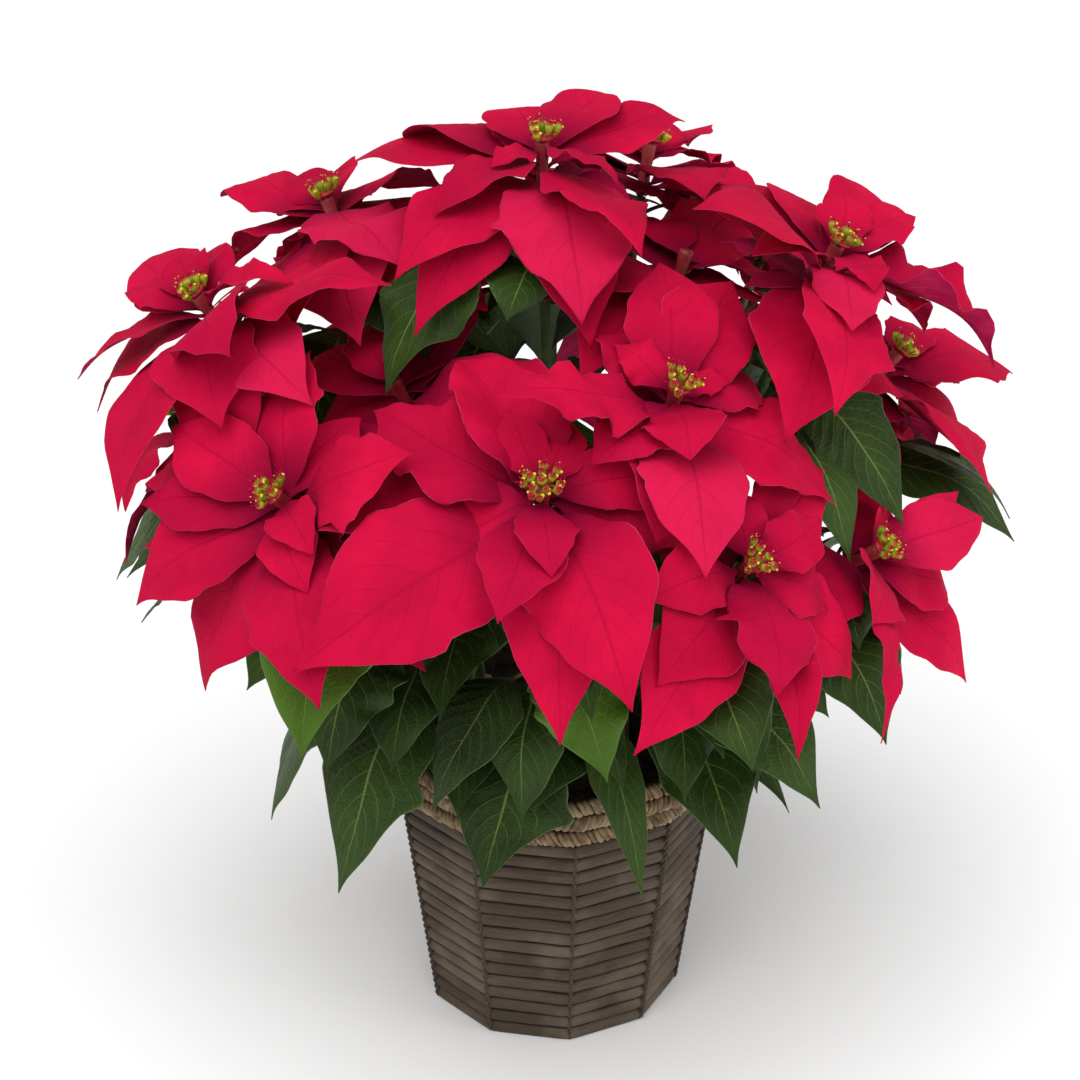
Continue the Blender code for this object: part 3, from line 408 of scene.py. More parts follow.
def tube_solid(route, radii):
    """A plain tube along a route as (points, faces)."""
    curve = bpy.data.curves.new("guide", "CURVE")
    curve.dimensions = "3D"
    curve.bevel_depth = MM
    curve.bevel_resolution = 1
    curve.use_fill_caps = True
    spline = curve.splines.new("POLY")
    spline.points.add(len(route) - 1)
    for point, place_on, radius in zip(spline.points, route, radii):
        point.co = (*(place_on * MM), 1.0)
        point.radius = radius
    guide = add_object("guide", curve)
    depsgraph = bpy.context.evaluated_depsgraph_get()
    mesh = bpy.data.meshes.new_from_object(guide.evaluated_get(depsgraph), depsgraph=depsgraph)
    bpy.data.objects.remove(guide, do_unlink=True)
    work = bmesh.new()
    work.from_mesh(mesh)
    bmesh.ops.remove_doubles(work, verts=work.verts, dist=WELD)
    verts = [vert.co / MM for vert in work.verts]
    work.verts.index_update()
    faces = [tuple(vert.index for vert in face.verts) for face in work.faces]
    work.free()
    bpy.data.meshes.remove(mesh)
    return verts, faces


def blade_frame(blade, share):
    """Middle, side direction and upper normal of a blade at a share of its length."""
    chord = blade.tip - blade.root
    middle = blade.root + chord * share + blade.lift * (4 * share * (1 - share))
    along = (chord + blade.lift * (4 - 8 * share)).normalized()
    level = along.cross(blade.lift).normalized()
    side = Matrix.Rotation(blade.roll + blade.twist * share, 3, along) @ level
    return middle, side, side.cross(along)


def blade_rings(blade, start):
    """Middle, side, normal and half width of a blade from its root, or from a share of its length, onward."""
    rings = []
    for share, fill in ((start, 0.0), *[step for step in blade.outline if step[0] > start]):
        middle, side, normal = blade_frame(blade, share)
        middle += normal * blade.wave * fill * math.sin(blade.phase + WAVE_TURN * share)
        rings.append((middle, side, normal, max(blade.width / 2 * fill, ROOT_R)))
    return rings


def blade_solid(blade):
    """A blade as (points, faces): level above, with a keel under the midrib."""
    verts = []
    for middle, side, normal, half in blade_rings(blade, 0.0):
        verts += [middle - side * half, middle + side * half, middle - normal * blade.thick]
    faces = [(0, 2, 1)] + skin(len(verts) // 3, 3)
    verts.append(blade.tip)
    return verts, faces


def blade_room(blade, room, start=0.0):
    """A box-sectioned hull round a blade, that much bigger on every side."""
    verts = []
    for middle, side, normal, half in blade_rings(blade, start):
        reach = side * (half + room)
        top = middle + normal * room
        under = middle - normal * (blade.thick + room)
        verts += [top - reach, top + reach, under + reach, under - reach]
    faces = [(0, 3, 2, 1)] + skin(len(verts) // 4, 4)
    verts.append(blade.tip + (blade.tip - blade.root).normalized() * room)
    return verts, faces


def skin(rings, count):
    """Triangles along rings of points, and from the last ring to one tip point after them."""
    faces = []
    for ring in range(rings - 1):
        for i in range(count):
            low = count * ring + i
            following = count * ring + (i + 1) % count
            faces += [(low, following, following + count), (low, following + count, low + count)]
    last = count * (rings - 1)
    faces += [(last + i, last + (i + 1) % count, last + count) for i in range(count)]
    return faces


class Thicket:
    """What is already placed, so that a new blade can be kept clear of it."""

    def __init__(self):
        self.placed = []

    @staticmethod
    def tree(solid):
        verts, faces = solid
        low = Vector(min(v[i] for v in verts) for i in range(3))
        high = Vector(max(v[i] for v in verts) for i in range(3))
        return low, high, BVHTree.FromPolygons(verts, faces, epsilon=0.0)

    def add(self, owner, solid):
        self.placed.append((owner, *self.tree(solid)))

    def meets(self, solid, owner, same_owner):
        low, high, tree = self.tree(solid)
        for other, other_low, other_high, other_tree in self.placed:
            if (other == owner) != same_owner:
                continue
            apart = any(low[i] > other_high[i] or other_low[i] > high[i] for i in range(3))
            if not apart and tree.overlap(other_tree):
                return True
        return False


def nudges():
    """Small changes to a blade, the slightest first: turn about its axis, dip, and share of its length."""
    found = []
    for turn in (0, 1, -1, 2, -2, 3, -3):
        for dip in (0, 1, -1, 2, -2, 3, 4):
            for cut in (0, 1, 2):
                found.append((abs(turn) + abs(dip) + 1.4 * cut, turn, dip, cut))
    found.sort()
    return [(math.radians(7 * turn), math.radians(6 * dip), 1 - 0.09 * cut) for _, turn, dip, cut in found]


NUDGES = nudges()


def nudged(blade, axis, turn, dip, share):
    """The blade turned about an axis, dipped away from it and shortened."""
    chord = blade.tip - blade.root
    hinge = axis.cross(chord).normalized()
    move = Matrix.Rotation(turn, 3, axis) @ Matrix.Rotation(dip, 3, hinge)
    return replace(blade, tip=blade.root + move @ chord * share, lift=move @ blade.lift,
                   width=blade.width * (1 + share) / 2)


def place(blade, axis, owner, thicket):
    """The blade in the first nearby position that is clear of everything placed, or None."""
    for tidy in (True, False):
        for turn, dip, share in NUDGES:
            trial = nudged(blade, axis, turn, dip, share)
            if thicket.meets(blade_room(trial, ROOM), owner, False):
                continue
            if tidy and thicket.meets(blade_room(trial, OWN_ROOM, OWN_START), owner, True):
                continue
            thicket.add(owner, blade_solid(trial))
            return trial
    return None


def bloom_axis(centre):
    """A bloom faces outward from the middle of the dome, turned towards the light above."""
    outward = (centre - DOME_CENTRE).normalized()
    return (outward + UP * UPWARD).normalized()


def seen_offset(right, up, length, axis):
    """From how a tip is seen to where it is: of the two depths that fit, the one nearer the bloom's dish."""
    flat = Vector((right, 0, 0)) + VIEW_UP * up
    depth = math.sqrt(max(length ** 2 - flat.length_squared, 0.0))
    both = [flat + VIEW_NEAR * depth, flat - VIEW_NEAR * depth]
    return min(both, key=lambda offset: abs(offset.dot(axis) + 0.22 * length))


def bloom_rows(axis, rows, rng):
    """Tip offsets, lengths and widths of a bloom's bracts, short inner ones first."""
    if rows:
        return [(seen_offset(right, up, length, axis), length, width) for right, up, length, width in rows]
    across = axis.orthogonal().normalized()
    heading = rng.uniform(0, 2 * math.pi)
    found = []
    for k in range(RULE_BRACTS):
        share = k / (RULE_BRACTS - 1)
        length = RULE_SHORT + (RULE_LONG - RULE_SHORT) * share ** 0.7
        away = Matrix.Rotation(heading + k * GOLDEN_TURN, 3, axis) @ across
        dip = math.radians(4.0 + 26.0 * share + rng.uniform(-5, 5))
        offset = (away * math.cos(dip) - axis * math.sin(dip)) * length
        found.append((offset, length, length * rng.uniform(0.48, 0.58)))
    return found


def bloom_blades(name, centre, axis, rows, thicket):
    """A bloom's bracts, rooted one under another down the stem tip."""
    rng = random.Random(name)
    found = []
    plan = bloom_rows(axis, rows, rng)
    for k, (offset, length, width) in enumerate(plan):
        depth = FIRST_ROOT + (LAST_ROOT - FIRST_ROOT) * k / (len(plan) - 1)
        away = (offset - axis * offset.dot(axis)).normalized()
        root = centre - axis * (depth + HUB_DROP) + away * (HUB_R - ROOT_SUNK)
        small = length < SMALL_BRACT
        blade = Blade(root=root, tip=centre + offset, lift=axis * length * rng.uniform(0.09, 0.16),
                      width=width * BRACT_FULLNESS, thick=BRACT_THICK,
                      outline=SMALL_OUTLINE if small else BRACT_OUTLINE,
                      roll=rng.uniform(-0.30, 0.30), twist=rng.uniform(-0.15, 0.15),
                      wave=width * rng.uniform(0.02, 0.06), phase=rng.uniform(0, 2 * math.pi))
        clear = place(blade, axis, name, thicket)
        if clear:
            found.append(clear)
    return found


def branch_route(foot, centre, axis):
    """A branch from the fork out and up to the underside of its bloom."""
    fork = Vector((foot.x, foot.y, FORK_Z))
    end = centre - axis * (HUB_H + HUB_DROP + GAP)
    level = Vector((end.x - fork.x, end.y - fork.y, 0.0))
    start = Vector((foot.x, foot.y, FORK_Z - 12.0)) + level * 0.02
    pull = fork + level * 0.35 + UP * (0.22 * (end.z - fork.z))
    steer = end - axis * 0.35 * (end - fork).length
    route = []
    for step in range(BRANCH_POINTS):
        t = 1 - (1 - step / (BRANCH_POINTS - 1)) ** 1.4
        u = 1 - t
        route.append(start * u ** 3 + pull * 3 * t * u ** 2 + steer * 3 * t * t * u + end * t ** 3)
    return route


def along_route(route, share):
    """The point at a share of a route."""
    place_on = share * (len(route) - 1)
    i = min(int(place_on), len(route) - 2)
    return route[i].lerp(route[i + 1], place_on - i)


def trunk_solid(foot):
    """A cutting's rooted stem, from its hole in the soil to the fork."""
    heights = (SOIL_TOP - HOLE_DEPTH + GAP, SOIL_TOP, FORK_Z)
    return tube_solid([Vector((foot.x, foot.y, z)) for z in heights], [TRUNK_R, TRUNK_R, TRUNK_R * 0.9])


def branch_radii():
    last = BRANCH_POINTS - 1
    return [BRANCH_R + (BRANCH_TIP_R - BRANCH_R) * k / last for k in range(BRANCH_POINTS)]


def leaf_blade(stem, tip, width, rng):
    """A leaf on its stalk, arching out and hanging to its tip."""
    level = Vector((tip.x - stem.x, tip.y - stem.y, 0.0)).normalized()
    root = stem + level * (BRANCH_TIP_R - ROOT_SUNK)
    chord = tip - root
    lift = (UP + level * 0.25) * chord.length * rng.uniform(0.14, 0.20)
    return Blade(root=root, tip=tip, lift=lift, width=width, thick=LEAF_THICK, outline=LEAF_OUTLINE,
                 roll=rng.uniform(-0.35, 0.35), twist=rng.uniform(-0.15, 0.15),
                 wave=width * rng.uniform(0.02, 0.05), phase=rng.uniform(0, 2 * math.pi))


def rule_leaf(route, share, heading, rng):
    """A leaf placed by rule along a branch."""
    root = along_route(route, share)
    length = LEAF_LONG * rng.uniform(0.85, 1.15)
    dip = math.radians(rng.uniform(2, 34))
    leaf = leaf_blade(root, root + dipped(heading, dip) * length, LEAF_WIDE * rng.uniform(0.8, 1.1), rng)
    return replace(leaf, outline=INNER_OUTLINE)


def tip_rings(centre, axis, steps):
    """Rings of points round a bloom's axis, for each (height, radius)."""
    spin = facing(axis)
    return [[spin @ point + centre for point in circle(radius, height, HUB_SIDES)]
            for height, radius in steps]


def cluster_solids(centre, axis, cups):
    """The flower cluster in a bloom's middle: a low disc with pointed cups standing on it."""
    spin = facing(axis)
    solids = [loft(tip_rings(centre, axis, ((-HUB_DROP + GAP, DISC_FOOT_R), (-DISC_SUNK, DISC_R))))]
    for k in range(cups):
        ring = 0.0 if k == 0 else (INNER_RING if k < 5 else OUTER_RING)
        out = level_at(2 * math.pi * k / 4 + (0.8 if k > 4 else 0.0))
        lean = (UP + out * ring * CUP_LEAN).normalized()
        foot = out * ring - UP * CUP_SUNK
        tip_h = CUP_H - ring * CUP_FALL
        side = lean.orthogonal().normalized()
        cup = []
        for height, radius in ((0.0, CUP_FOOT_R), (tip_h * 0.6, CUP_R)):
            cup.append([centre + spin @ (foot + lean * height + Matrix.Rotation(2 * math.pi * j / 4, 3, lean)
                                         @ side * radius) for j in range(4)])
        solids.append(loft(cup, centre + spin @ (foot + lean * tip_h)))
    return solids


def loft(rings, peak=None):
    """A closed solid over rings of points, with flat ends or rising to a peak."""
    count = len(rings[0])
    verts = [point for ring in rings for point in ring]
    faces = []
    for k in range(len(rings) - 1):
        for i in range(count):
            j = (i + 1) % count
            low = k * count
            faces.append((low + i, low + j, low + count + j, low + count + i))
    faces.append(tuple(reversed(range(count))))
    top = (len(rings) - 1) * count
    if peak is None:
        faces.append(tuple(range(top, top + count)))
    else:
        faces += [(top + i, top + (i + 1) % count, len(verts)) for i in range(count)]
        verts.append(peak)
    return verts, faces


def hub_solid(centre, axis):
    """The coloured stem tip that a bloom's bracts are rooted in."""
    return loft(tip_rings(centre, axis, ((-HUB_DROP - HUB_H, HUB_R * 0.9), (-HUB_DROP, HUB_R))))


def basket_hull():
    """A plain shell round the basket, which the blades are kept clear of."""
    steps = (0.0, BASE_R + 4), (BROWN_H, BROWN_TOP_R + 5), (BROWN_H + RIM_H + 2, RIM_TOP_R + 8)
    return loft([circle(radius, z, 20) for z, radius in steps])


def lay_out_plant():
    """Places every blade. Returns bracts by bloom, leaves by cutting, branch routes, bloom centres with their
    axes, and the thicket of all that is placed."""
    thicket = Thicket()
    centres = {}
    routes = {}
    bracts = {}
    leaves = {label: [] for label in PLANT_FEET}
    for label, foot in PLANT_FEET.items():
        thicket.add("plant_" + label, trunk_solid(foot))
    for name, (label, place_mm, _) in BLOOMS.items():
        centre = Vector(place_mm)
        axis = bloom_axis(centre)
        centres[name] = (centre, axis)
        routes[name] = branch_route(PLANT_FEET[label], centre, axis)
        thicket.add("plant_" + label, tube_solid(routes[name], branch_radii()))
        thicket.add(name, hub_solid(centre, axis))
        if name not in YOUNG:
            for solid in cluster_solids(centre, axis, CUPS_TWIN if name == TWIN_BLOOM else CUPS):
                thicket.add("cyathia" + name[-3:], solid)
    thicket.add("basket", basket_hull())
    for name, (_, _, rows) in BLOOMS.items():
        centre, axis = centres[name]
        bracts[name] = bloom_blades(name, centre, axis, rows, thicket)
    for k, (name, share, tip, width) in enumerate(SHOWN_LEAVES):
        label = BLOOMS[name][0]
        leaf = leaf_blade(along_route(routes[name], share), Vector(tip), width, random.Random(k))
        if k >= WHOLE_LEAVES:
            leaf = replace(leaf, outline=INNER_OUTLINE)
        clear = place(leaf, UP, "plant_" + label, thicket)
        if clear:
            leaves[label].append(clear)
    for name, route in routes.items():
        label = BLOOMS[name][0]
        rng = random.Random("leaves of " + name)
        heading = math.atan2(route[-1].y - route[0].y, route[-1].x - route[0].x) - 2 * GOLDEN_TURN
        for share in LEAF_SHARES:
            heading += GOLDEN_TURN + rng.uniform(-0.3, 0.3)
            clear = place(rule_leaf(route, share, heading, rng), UP, "plant_" + label, thicket)
            if clear:
                leaves[label].append(clear)
    return bracts, leaves, routes, centres, thicket


def unit(rows):
    """Each row scaled to length 1."""
    return rows / np.maximum(np.linalg.norm(rows, axis=-1, keepdims=True), 1e-9)


def form_width(form, share):
    """Smooth reading of a form table: half width as a share of the greatest."""
    at, fill = zip(*form)
    fine = np.linspace(0, 1, FORM_STEPS)
    kernel = np.hanning(2 * FORM_BLUR + 1)
    padded = np.pad(np.interp(fine, at, fill), FORM_BLUR, mode="edge")
    return np.interp(share, fine, np.convolve(padded, kernel / kernel.sum(), mode="valid"))


@dataclass(frozen=True)
class Look:
    """What makes one blade differ from the next. Its shape numbers are shares of the half width."""
    kind: str
    fold: float
    recurve: float
    curl: float
    ruffle: float
    waves: float
    phase: tuple
    sickle: float
    teeth: tuple
    tone: float
    green: float
    quilt: float


def blade_look(kind, rng):
    """Draws a blade's own look."""
    leaf = kind == "leaf"
    teeth = []
    if rng.random() < (0.75 if leaf else 0.22):
        for _ in range(rng.choice((1, 2, 3) if leaf else (1, 2))):
            teeth.append((rng.choice((-1, 1)), rng.uniform(0.42, 0.68), rng.uniform(0.12, 0.26)))
    fold = rng.uniform(0.34, 0.62) if rng.random() < 0.2 else rng.uniform(0.02, 0.26)
    return Look(kind=kind, fold=fold, recurve=rng.uniform(0.0, 0.26),
                curl=rng.uniform(0.2, 2.0) if leaf else rng.uniform(-0.4, 1.8),
                ruffle=rng.uniform(0.07, 0.26), waves=rng.uniform(1.8, 3.6),
                phase=(rng.uniform(0, 6.28), rng.uniform(0, 6.28)), sickle=rng.uniform(-0.06, 0.06),
                # A bract's third tint number stays under 0.8, below the painted shade kept for the low inner
                # bracts
                teeth=tuple(teeth), tone=rng.random(), green=rng.random() * (1.0 if leaf else 0.8),
                quilt=rng.uniform(0.45, 0.95) if leaf else rng.uniform(0.05, 0.35))


def blade_grid(blade, look, amount, rings, across):
    """Rings of points round a fine blade, the share along it and across it at each point, and which columns
    are on its underside."""
    form, stalk, side_veins = BLADE_KINDS[look.kind]
    s = np.linspace(0.0, 1.0, rings) ** 0.96
    root, tip, lift = (np.array(v) for v in (blade.root, blade.tip, blade.lift))
    chord = tip - root
    length = np.linalg.norm(chord)
    along = unit(chord + lift * (4 - 8 * s)[:, None])
    level = unit(np.cross(along, lift))
    angle = (blade.roll + blade.twist * s)[:, None]
    side = level * np.cos(angle) + np.cross(along, level) * np.sin(angle)
    normal = np.cross(side, along)
    fill = form_width(form, s)
    middle = root + chord * s[:, None] + lift * (4 * s * (1 - s))[:, None]
    middle = middle + normal * (blade.wave * fill * np.sin(blade.phase + WAVE_TURN * s))[:, None]
    middle = middle + side * (look.sickle * length * np.sin(math.pi * s) * amount)[:, None]
    droop = look.curl * 0.35 * length * np.clip(s - DROOP_START, 0, 1) ** 2
    middle = middle - normal * (droop * amount)[:, None]

    # Below its base a blade is a round stalk. Share base tells how far it has opened into a flat blade.
    half = np.maximum(blade.width / 2 * fill, HALF_LEAST)
    base = np.where(s < 0.4, np.clip(half / (2.2 * stalk), 0, 1), 1.0)
    spread = np.array([-1.0, *np.linspace(-MARGIN, MARGIN, across - 2), 1.0])
    share_across = np.concatenate([spread, spread[-2:0:-1]])
    upper = np.array([1.0] * across + [-1.0] * (across - 2))
    upper[0] = upper[across - 1] = 0.0
    points = np.zeros((rings, len(share_across), 3))
    for j, (v, face) in enumerate(zip(share_across, upper)):
        hand = 0 if v < 0 else 1
        own, other = look.phase[hand], look.phase[1 - hand]
        a = abs(v)
        edge = 1 + 0.055 * np.sin(13.0 * s + own) + 0.03 * np.sin(31.0 * s + other)
        for tooth_hand, at, size in look.teeth:
            if (v > 0) == (tooth_hand > 0):
                edge = edge + size * np.clip(1 - np.abs(s - at) / TOOTH_REACH, 0, 1) * a
        rise = look.fold * a - look.recurve * a ** 3
        wave = look.ruffle * a ** 2.2 * np.sin(2 * math.pi * look.waves * s + own)
        wave = wave + 0.35 * look.ruffle * a ** 3 * np.sin(2 * math.pi * 2.3 * look.waves * s + other)
        quilt = look.quilt * math.sin(math.pi * a) * np.sin(2 * math.pi * (side_veins * s - 2.4 * a))
        lift_here = half * (rise + wave) * amount + quilt * fill
        rib = 0.55 * stalk * np.exp(-(a * np.maximum(half, 0.1) / 1.3) ** 2) * (1 - s) ** 0.7
        body = EDGE_THICK + 0.22 * (1 - a) + (rib if face < 0 else 0.25 * rib)
        stem_body = np.maximum(stalk * (1 - 0.6 * s), 0.2) * math.sqrt(1 - a * a)
        stem_reach = np.maximum(stalk * (1 - 0.35 * s), 0.25) * v
        depth = face * (body * base + stem_body * (1 - base))
        out = half * edge * v * base + stem_reach * (1 - base)
        points[:, j] = middle + side * out[:, None] + normal * (lift_here * base + depth)[:, None]
    shares = np.zeros(points.shape[:2] + (2,))
    shares[..., 0] = s[:, None]
    shares[..., 1] = (share_across + 1) / 2
    return points, shares, upper < 0


class Body:
    """Gathers closed tubes of points into one mesh, with a map of shares and a tint at each point."""

    def __init__(self):
        self.points = []
        self.shares = []
        self.tints = []
        self.faces = []
        self.count = 0

    def tube(self, rings, tint, shares=None, closed=False, upper=None):
        """A skin over rings of points, its ends capped unless the rings close up. A tint is three numbers, or
        arrays of them that spread over the points. With upper given, that many columns form a blade's upper
        face, and both its faces are split along the same diagonals."""
        rings = np.asarray(rings, float)
        n, m = rings.shape[:2]
        index = self.count + np.arange(n * m).reshape(n, m)
        if shares is None:
            shares = np.stack(np.meshgrid(np.linspace(0, 1, n), np.linspace(0, 1, m), indexing="ij"), axis=-1)
        tints = np.ones((n, m, 4))
        for k, value in enumerate(tint):
            tints[..., k] = value
        low = index if closed else index[:-1]
        high = np.roll(index, -1, axis=0) if closed else index[1:]
        quads = np.stack([low, np.roll(low, -1, axis=1), np.roll(high, -1, axis=1), high], axis=-1)
        if upper is None:
            self.faces += quads.reshape(-1, 4).tolist()
        else:
            above = quads[:, :upper].reshape(-1, 4)
            below = quads[:, upper:].reshape(-1, 4)
            for half, splits in ((above, ((0, 1, 2), (0, 2, 3))), (below, ((0, 1, 3), (1, 2, 3)))):
                for corners in splits:
                    self.faces += half[:, corners].tolist()
        if not closed:
            self.faces += [index[0, ::-1].tolist(), index[-1].tolist()]
        self.points.append(rings.reshape(-1, 3))
        self.shares.append(shares.reshape(-1, 2))
        self.tints.append(tints.reshape(-1, 4))
        self.count += n * m

    def piece(self, name, material, node, smooth=True):
        """The gathered tubes as one piece that stands for a plain node."""
        mesh = bpy.data.meshes.new(name)
        mesh.from_pydata((np.concatenate(self.points) * MM).tolist(), [], self.faces)
        corners = np.empty(len(mesh.loops), dtype=np.int32)
        mesh.loops.foreach_get("vertex_index", corners)
        shares = np.concatenate(self.shares)[corners]
        mesh.uv_layers.new(name="Shares").data.foreach_set("uv", shares.ravel())
        tint = mesh.color_attributes.new("Tint", "FLOAT_COLOR", "POINT")
        tint.data.foreach_set("color", np.concatenate(self.tints).ravel())
        mesh.polygons.foreach_set("use_smooth", [smooth] * len(mesh.polygons))
        mesh.materials.append(material)
        mesh.update()
        turn_outward(mesh)
        obj = add_object(name, mesh)
        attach(obj, "root")
        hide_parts(node)


def turn_outward(mesh):
    """Makes all of a mesh's faces look outward."""
    work = bmesh.new()
    work.from_mesh(mesh)
    bmesh.ops.recalc_face_normals(work, faces=work.faces)
    work.to_mesh(mesh)
    work.free()


def smooth_line(knots, count):
    """Points at even steps of a smooth line through the knots."""
    knots = np.asarray(knots, float)
    padded = np.vstack([2 * knots[0] - knots[1], knots, 2 * knots[-1] - knots[-2]])
    found = []
    for t in np.linspace(0, len(knots) - 1, count):
        i = min(int(t), len(knots) - 2)
        f = t - i
        a, b, c, d = padded[i:i + 4]
        found.append(0.5 * (2 * b + (c - a) * f + (2 * a - 5 * b + 4 * c - d) * f * f
                            + (3 * b - a - 3 * c + d) * f ** 3))
    return np.array(found)


def sweep(line, radii, sides, squash=1.0):
    """Rings round a line of points, carried along without spin."""
    line = np.asarray(line, float)
    along = unit(np.gradient(line, axis=0))
    across = Vector(along[0]).orthogonal().normalized()
    rings = []
    angles = even_turns(sides)
    for middle, heading, radius in zip(line, along, np.broadcast_to(radii, len(line))):
        heading = Vector(heading)
        across = (across - heading * across.dot(heading)).normalized()
        other = np.array(heading.cross(across))
        first = np.array(across)
        rings.append([middle + radius * (first * math.cos(a) + other * math.sin(a) * squash) for a in angles])
    return np.array(rings)


def settle(blades):
    """Flattens fine blades that would cut through each other, step by step. Returns each one's amount."""
    amounts = [1.0] * len(blades)
    trees = [None] * len(blades)
    boxes = np.zeros((len(blades), 2, 3))
    changed = set(range(len(blades)))
    for _ in range(SETTLE_ROUNDS):
        for i in changed:
            blade, look, _ = blades[i]
            points, _, _ = blade_grid(blade, look, amounts[i], *SETTLE_GRID)
            points = points[SETTLE_PAST:]
            n, m = points.shape[:2]
            flat = points.reshape(-1, 3)
            quads = [(k * m + j, k * m + (j + 1) % m, (k + 1) * m + (j + 1) % m, (k + 1) * m + j)
                     for k in range(n - 1) for j in range(m)]
            trees[i] = BVHTree.FromPolygons(flat.tolist(), quads)
            boxes[i] = flat.min(axis=0), flat.max(axis=0)
        meeting = set()
        for i in range(len(blades)):
            near = np.all((boxes[i, 0] <= boxes[i + 1:, 1]) & (boxes[i + 1:, 0] <= boxes[i, 1]), axis=1)
            for j in np.nonzero(near)[0] + i + 1:
                if (i in changed or j in changed or amounts[i] < 1) and trees[i].overlap(trees[j]):
                    meeting.update((i, int(j)))
        for i in meeting:
            amounts[i] *= SETTLE_SHARE
        changed = meeting
        if not meeting:
            break
    return amounts


def fine_blades(bracts, leaves):
    """Every blade with its look and amount, by the bloom or cutting that carries it."""
    blades = []
    for owner, grown in [*bracts.items(), *leaves.items()]:
        rng = random.Random("look of " + owner)
        for blade in grown:
            small = (blade.tip - blade.root).length < SMALL_BRACT
            kind = "leaf" if owner in leaves else ("small" if small else "bract")
            blades.append((blade, blade_look(kind, rng), owner))
    by_owner = {}
    for (blade, look, owner), amount in zip(blades, settle(blades)):
        by_owner.setdefault(owner, []).append((blade, look, amount))
    return by_owner


def add_blade(body, blade, look, amount, size=None):
    """A fine blade, with the whole count of rings and points across or the given ones."""
    rings, across = size or (LEAF_GRID if look.kind == "leaf" else BRACT_GRID)
    points, shares, under = blade_grid(blade, look, amount, rings, across)
    body.tube(points, (look.tone, under, look.green), shares, upper=across - 1)


def inner_bracts(name, centre, axis, thicket):
    """Short bracts low on a stem tip, which close the view between the stalks of the others. Their third tint
    number at its top paints them in dark purple shade.
    """
    rng = random.Random("inner bracts of " + name)
    across = axis.orthogonal().normalized()
    heading = rng.uniform(0, 2 * math.pi)
    found = []
    for k in range(INNER_BRACTS):
        away = Matrix.Rotation(heading + 2 * math.pi * k / INNER_BRACTS, 3, axis) @ across
        dip = math.radians(rng.uniform(4, 20))
        length = INNER_LONG * rng.uniform(0.8, 1.15)
        root = centre - axis * (HUB_DROP + INNER_DEPTH + INNER_STEP * k) + away * (HUB_R - ROOT_SUNK)
        tip = root + (away * math.cos(dip) - axis * math.sin(dip)) * length
        blade = Blade(root=root, tip=tip, lift=axis * length * 0.12, width=length * rng.uniform(0.6, 0.75),
                      thick=BRACT_THICK, outline=SMALL_OUTLINE, roll=rng.uniform(-0.2, 0.2), twist=0.0,
                      wave=0.5, phase=0.0)
        clear = place(blade, axis, name, thicket)
        if clear:
            # The top third tint number paints these inner bracts in dark purple shade
            found.append((clear, replace(blade_look("small", rng), green=1.0, tone=0.4)))
    return found


def inner_leaves(name, route, thicket):
    """Small leaves just under a bloom, which close the view between it and its neighbours, and at the back a
    few low ones that reach over the basket's mouth."""
    rng = random.Random("inner leaves of " + name)
    heading = rng.uniform(0, 2 * math.pi)
    plan = [(share, INNER_LEAF_LONG, rng.uniform(0, 22)) for share in INNER_LEAF_SHARES]
    if route[-1].y > BACK_FROM:
        plan += [(share, LOW_LEAF_LONG, rng.uniform(14, 36)) for share in LOW_LEAF_SHARES]
    found = []
    for share, length, dip in plan:
        heading += GOLDEN_TURN
        if length == LOW_LEAF_LONG:
            heading = math.pi / 2 - math.copysign(rng.uniform(0.1, 1.2), route[-1].x)
        root = along_route(route, share)
        away = dipped(heading, math.radians(dip))
        long = length * rng.uniform(0.85, 1.1)
        leaf = leaf_blade(root, root + away * long, long * rng.uniform(0.52, 0.64), rng)
        clear = place(replace(leaf, outline=INNER_OUTLINE), UP, "plant_" + BLOOMS[name][0], thicket)
        if clear:
            found.append((clear, replace(blade_look("leaf", rng), green=0.2)))
    return found


def add_branch(body, route, rng):
    """A branch with swollen leaf joints, on the same curve as the plain one."""
    share = np.linspace(0, 1, BRANCH_RINGS)
    swell = np.zeros(BRANCH_RINGS)
    for at in np.arange(0.10, 0.98, 0.115):
        swell += 0.45 * np.exp(-((share - at - rng.uniform(-0.02, 0.02)) / 0.014) ** 2)
    radii = np.linspace(BRANCH_R, BRANCH_TIP_R, BRANCH_RINGS) + swell
    body.tube(sweep(smooth_line(route, BRANCH_RINGS), radii, 10), (rng.random(), share[:, None], 0.0))


def make_plant_pieces(grown, routes, thicket, materials):
    """Each cutting's stems as one piece and its leaves as another."""
    heights = np.linspace(SOIL_TOP - HOLE_DEPTH + GAP, FORK_Z, TRUNK_RINGS)
    radii = TRUNK_R * (1 - 0.10 * np.clip((heights - SOIL_TOP) / (FORK_Z - SOIL_TOP), 0, 1))
    radii = radii - 0.35 + 0.3 * np.exp(-((np.mod(heights, 21.0) - 10.0) / 1.6) ** 2)
    for label, foot in PLANT_FEET.items():
        node = "plant_" + label
        own = [name for name in routes if BLOOMS[name][0] == label]
        rng = random.Random("stems of " + label)
        stems = Body()
        stems.tube(sweep([(foot.x, foot.y, z) for z in heights], radii, 16), TINT_BARK)
        for name in own:
            add_branch(stems, routes[name], rng)
        stems.piece("stems_" + label, materials["stem"], node)
        leaves = Body()
        for blade, look, amount in grown[node]:
            add_blade(leaves, blade, look, amount)
        for name in own:
            for blade, look in inner_leaves(name, routes[name], thicket):
                add_blade(leaves, blade, look, INNER_AMOUNT, INNER_LEAF_GRID)
        leaves.piece("leaves_" + label, materials["leaf"], node)


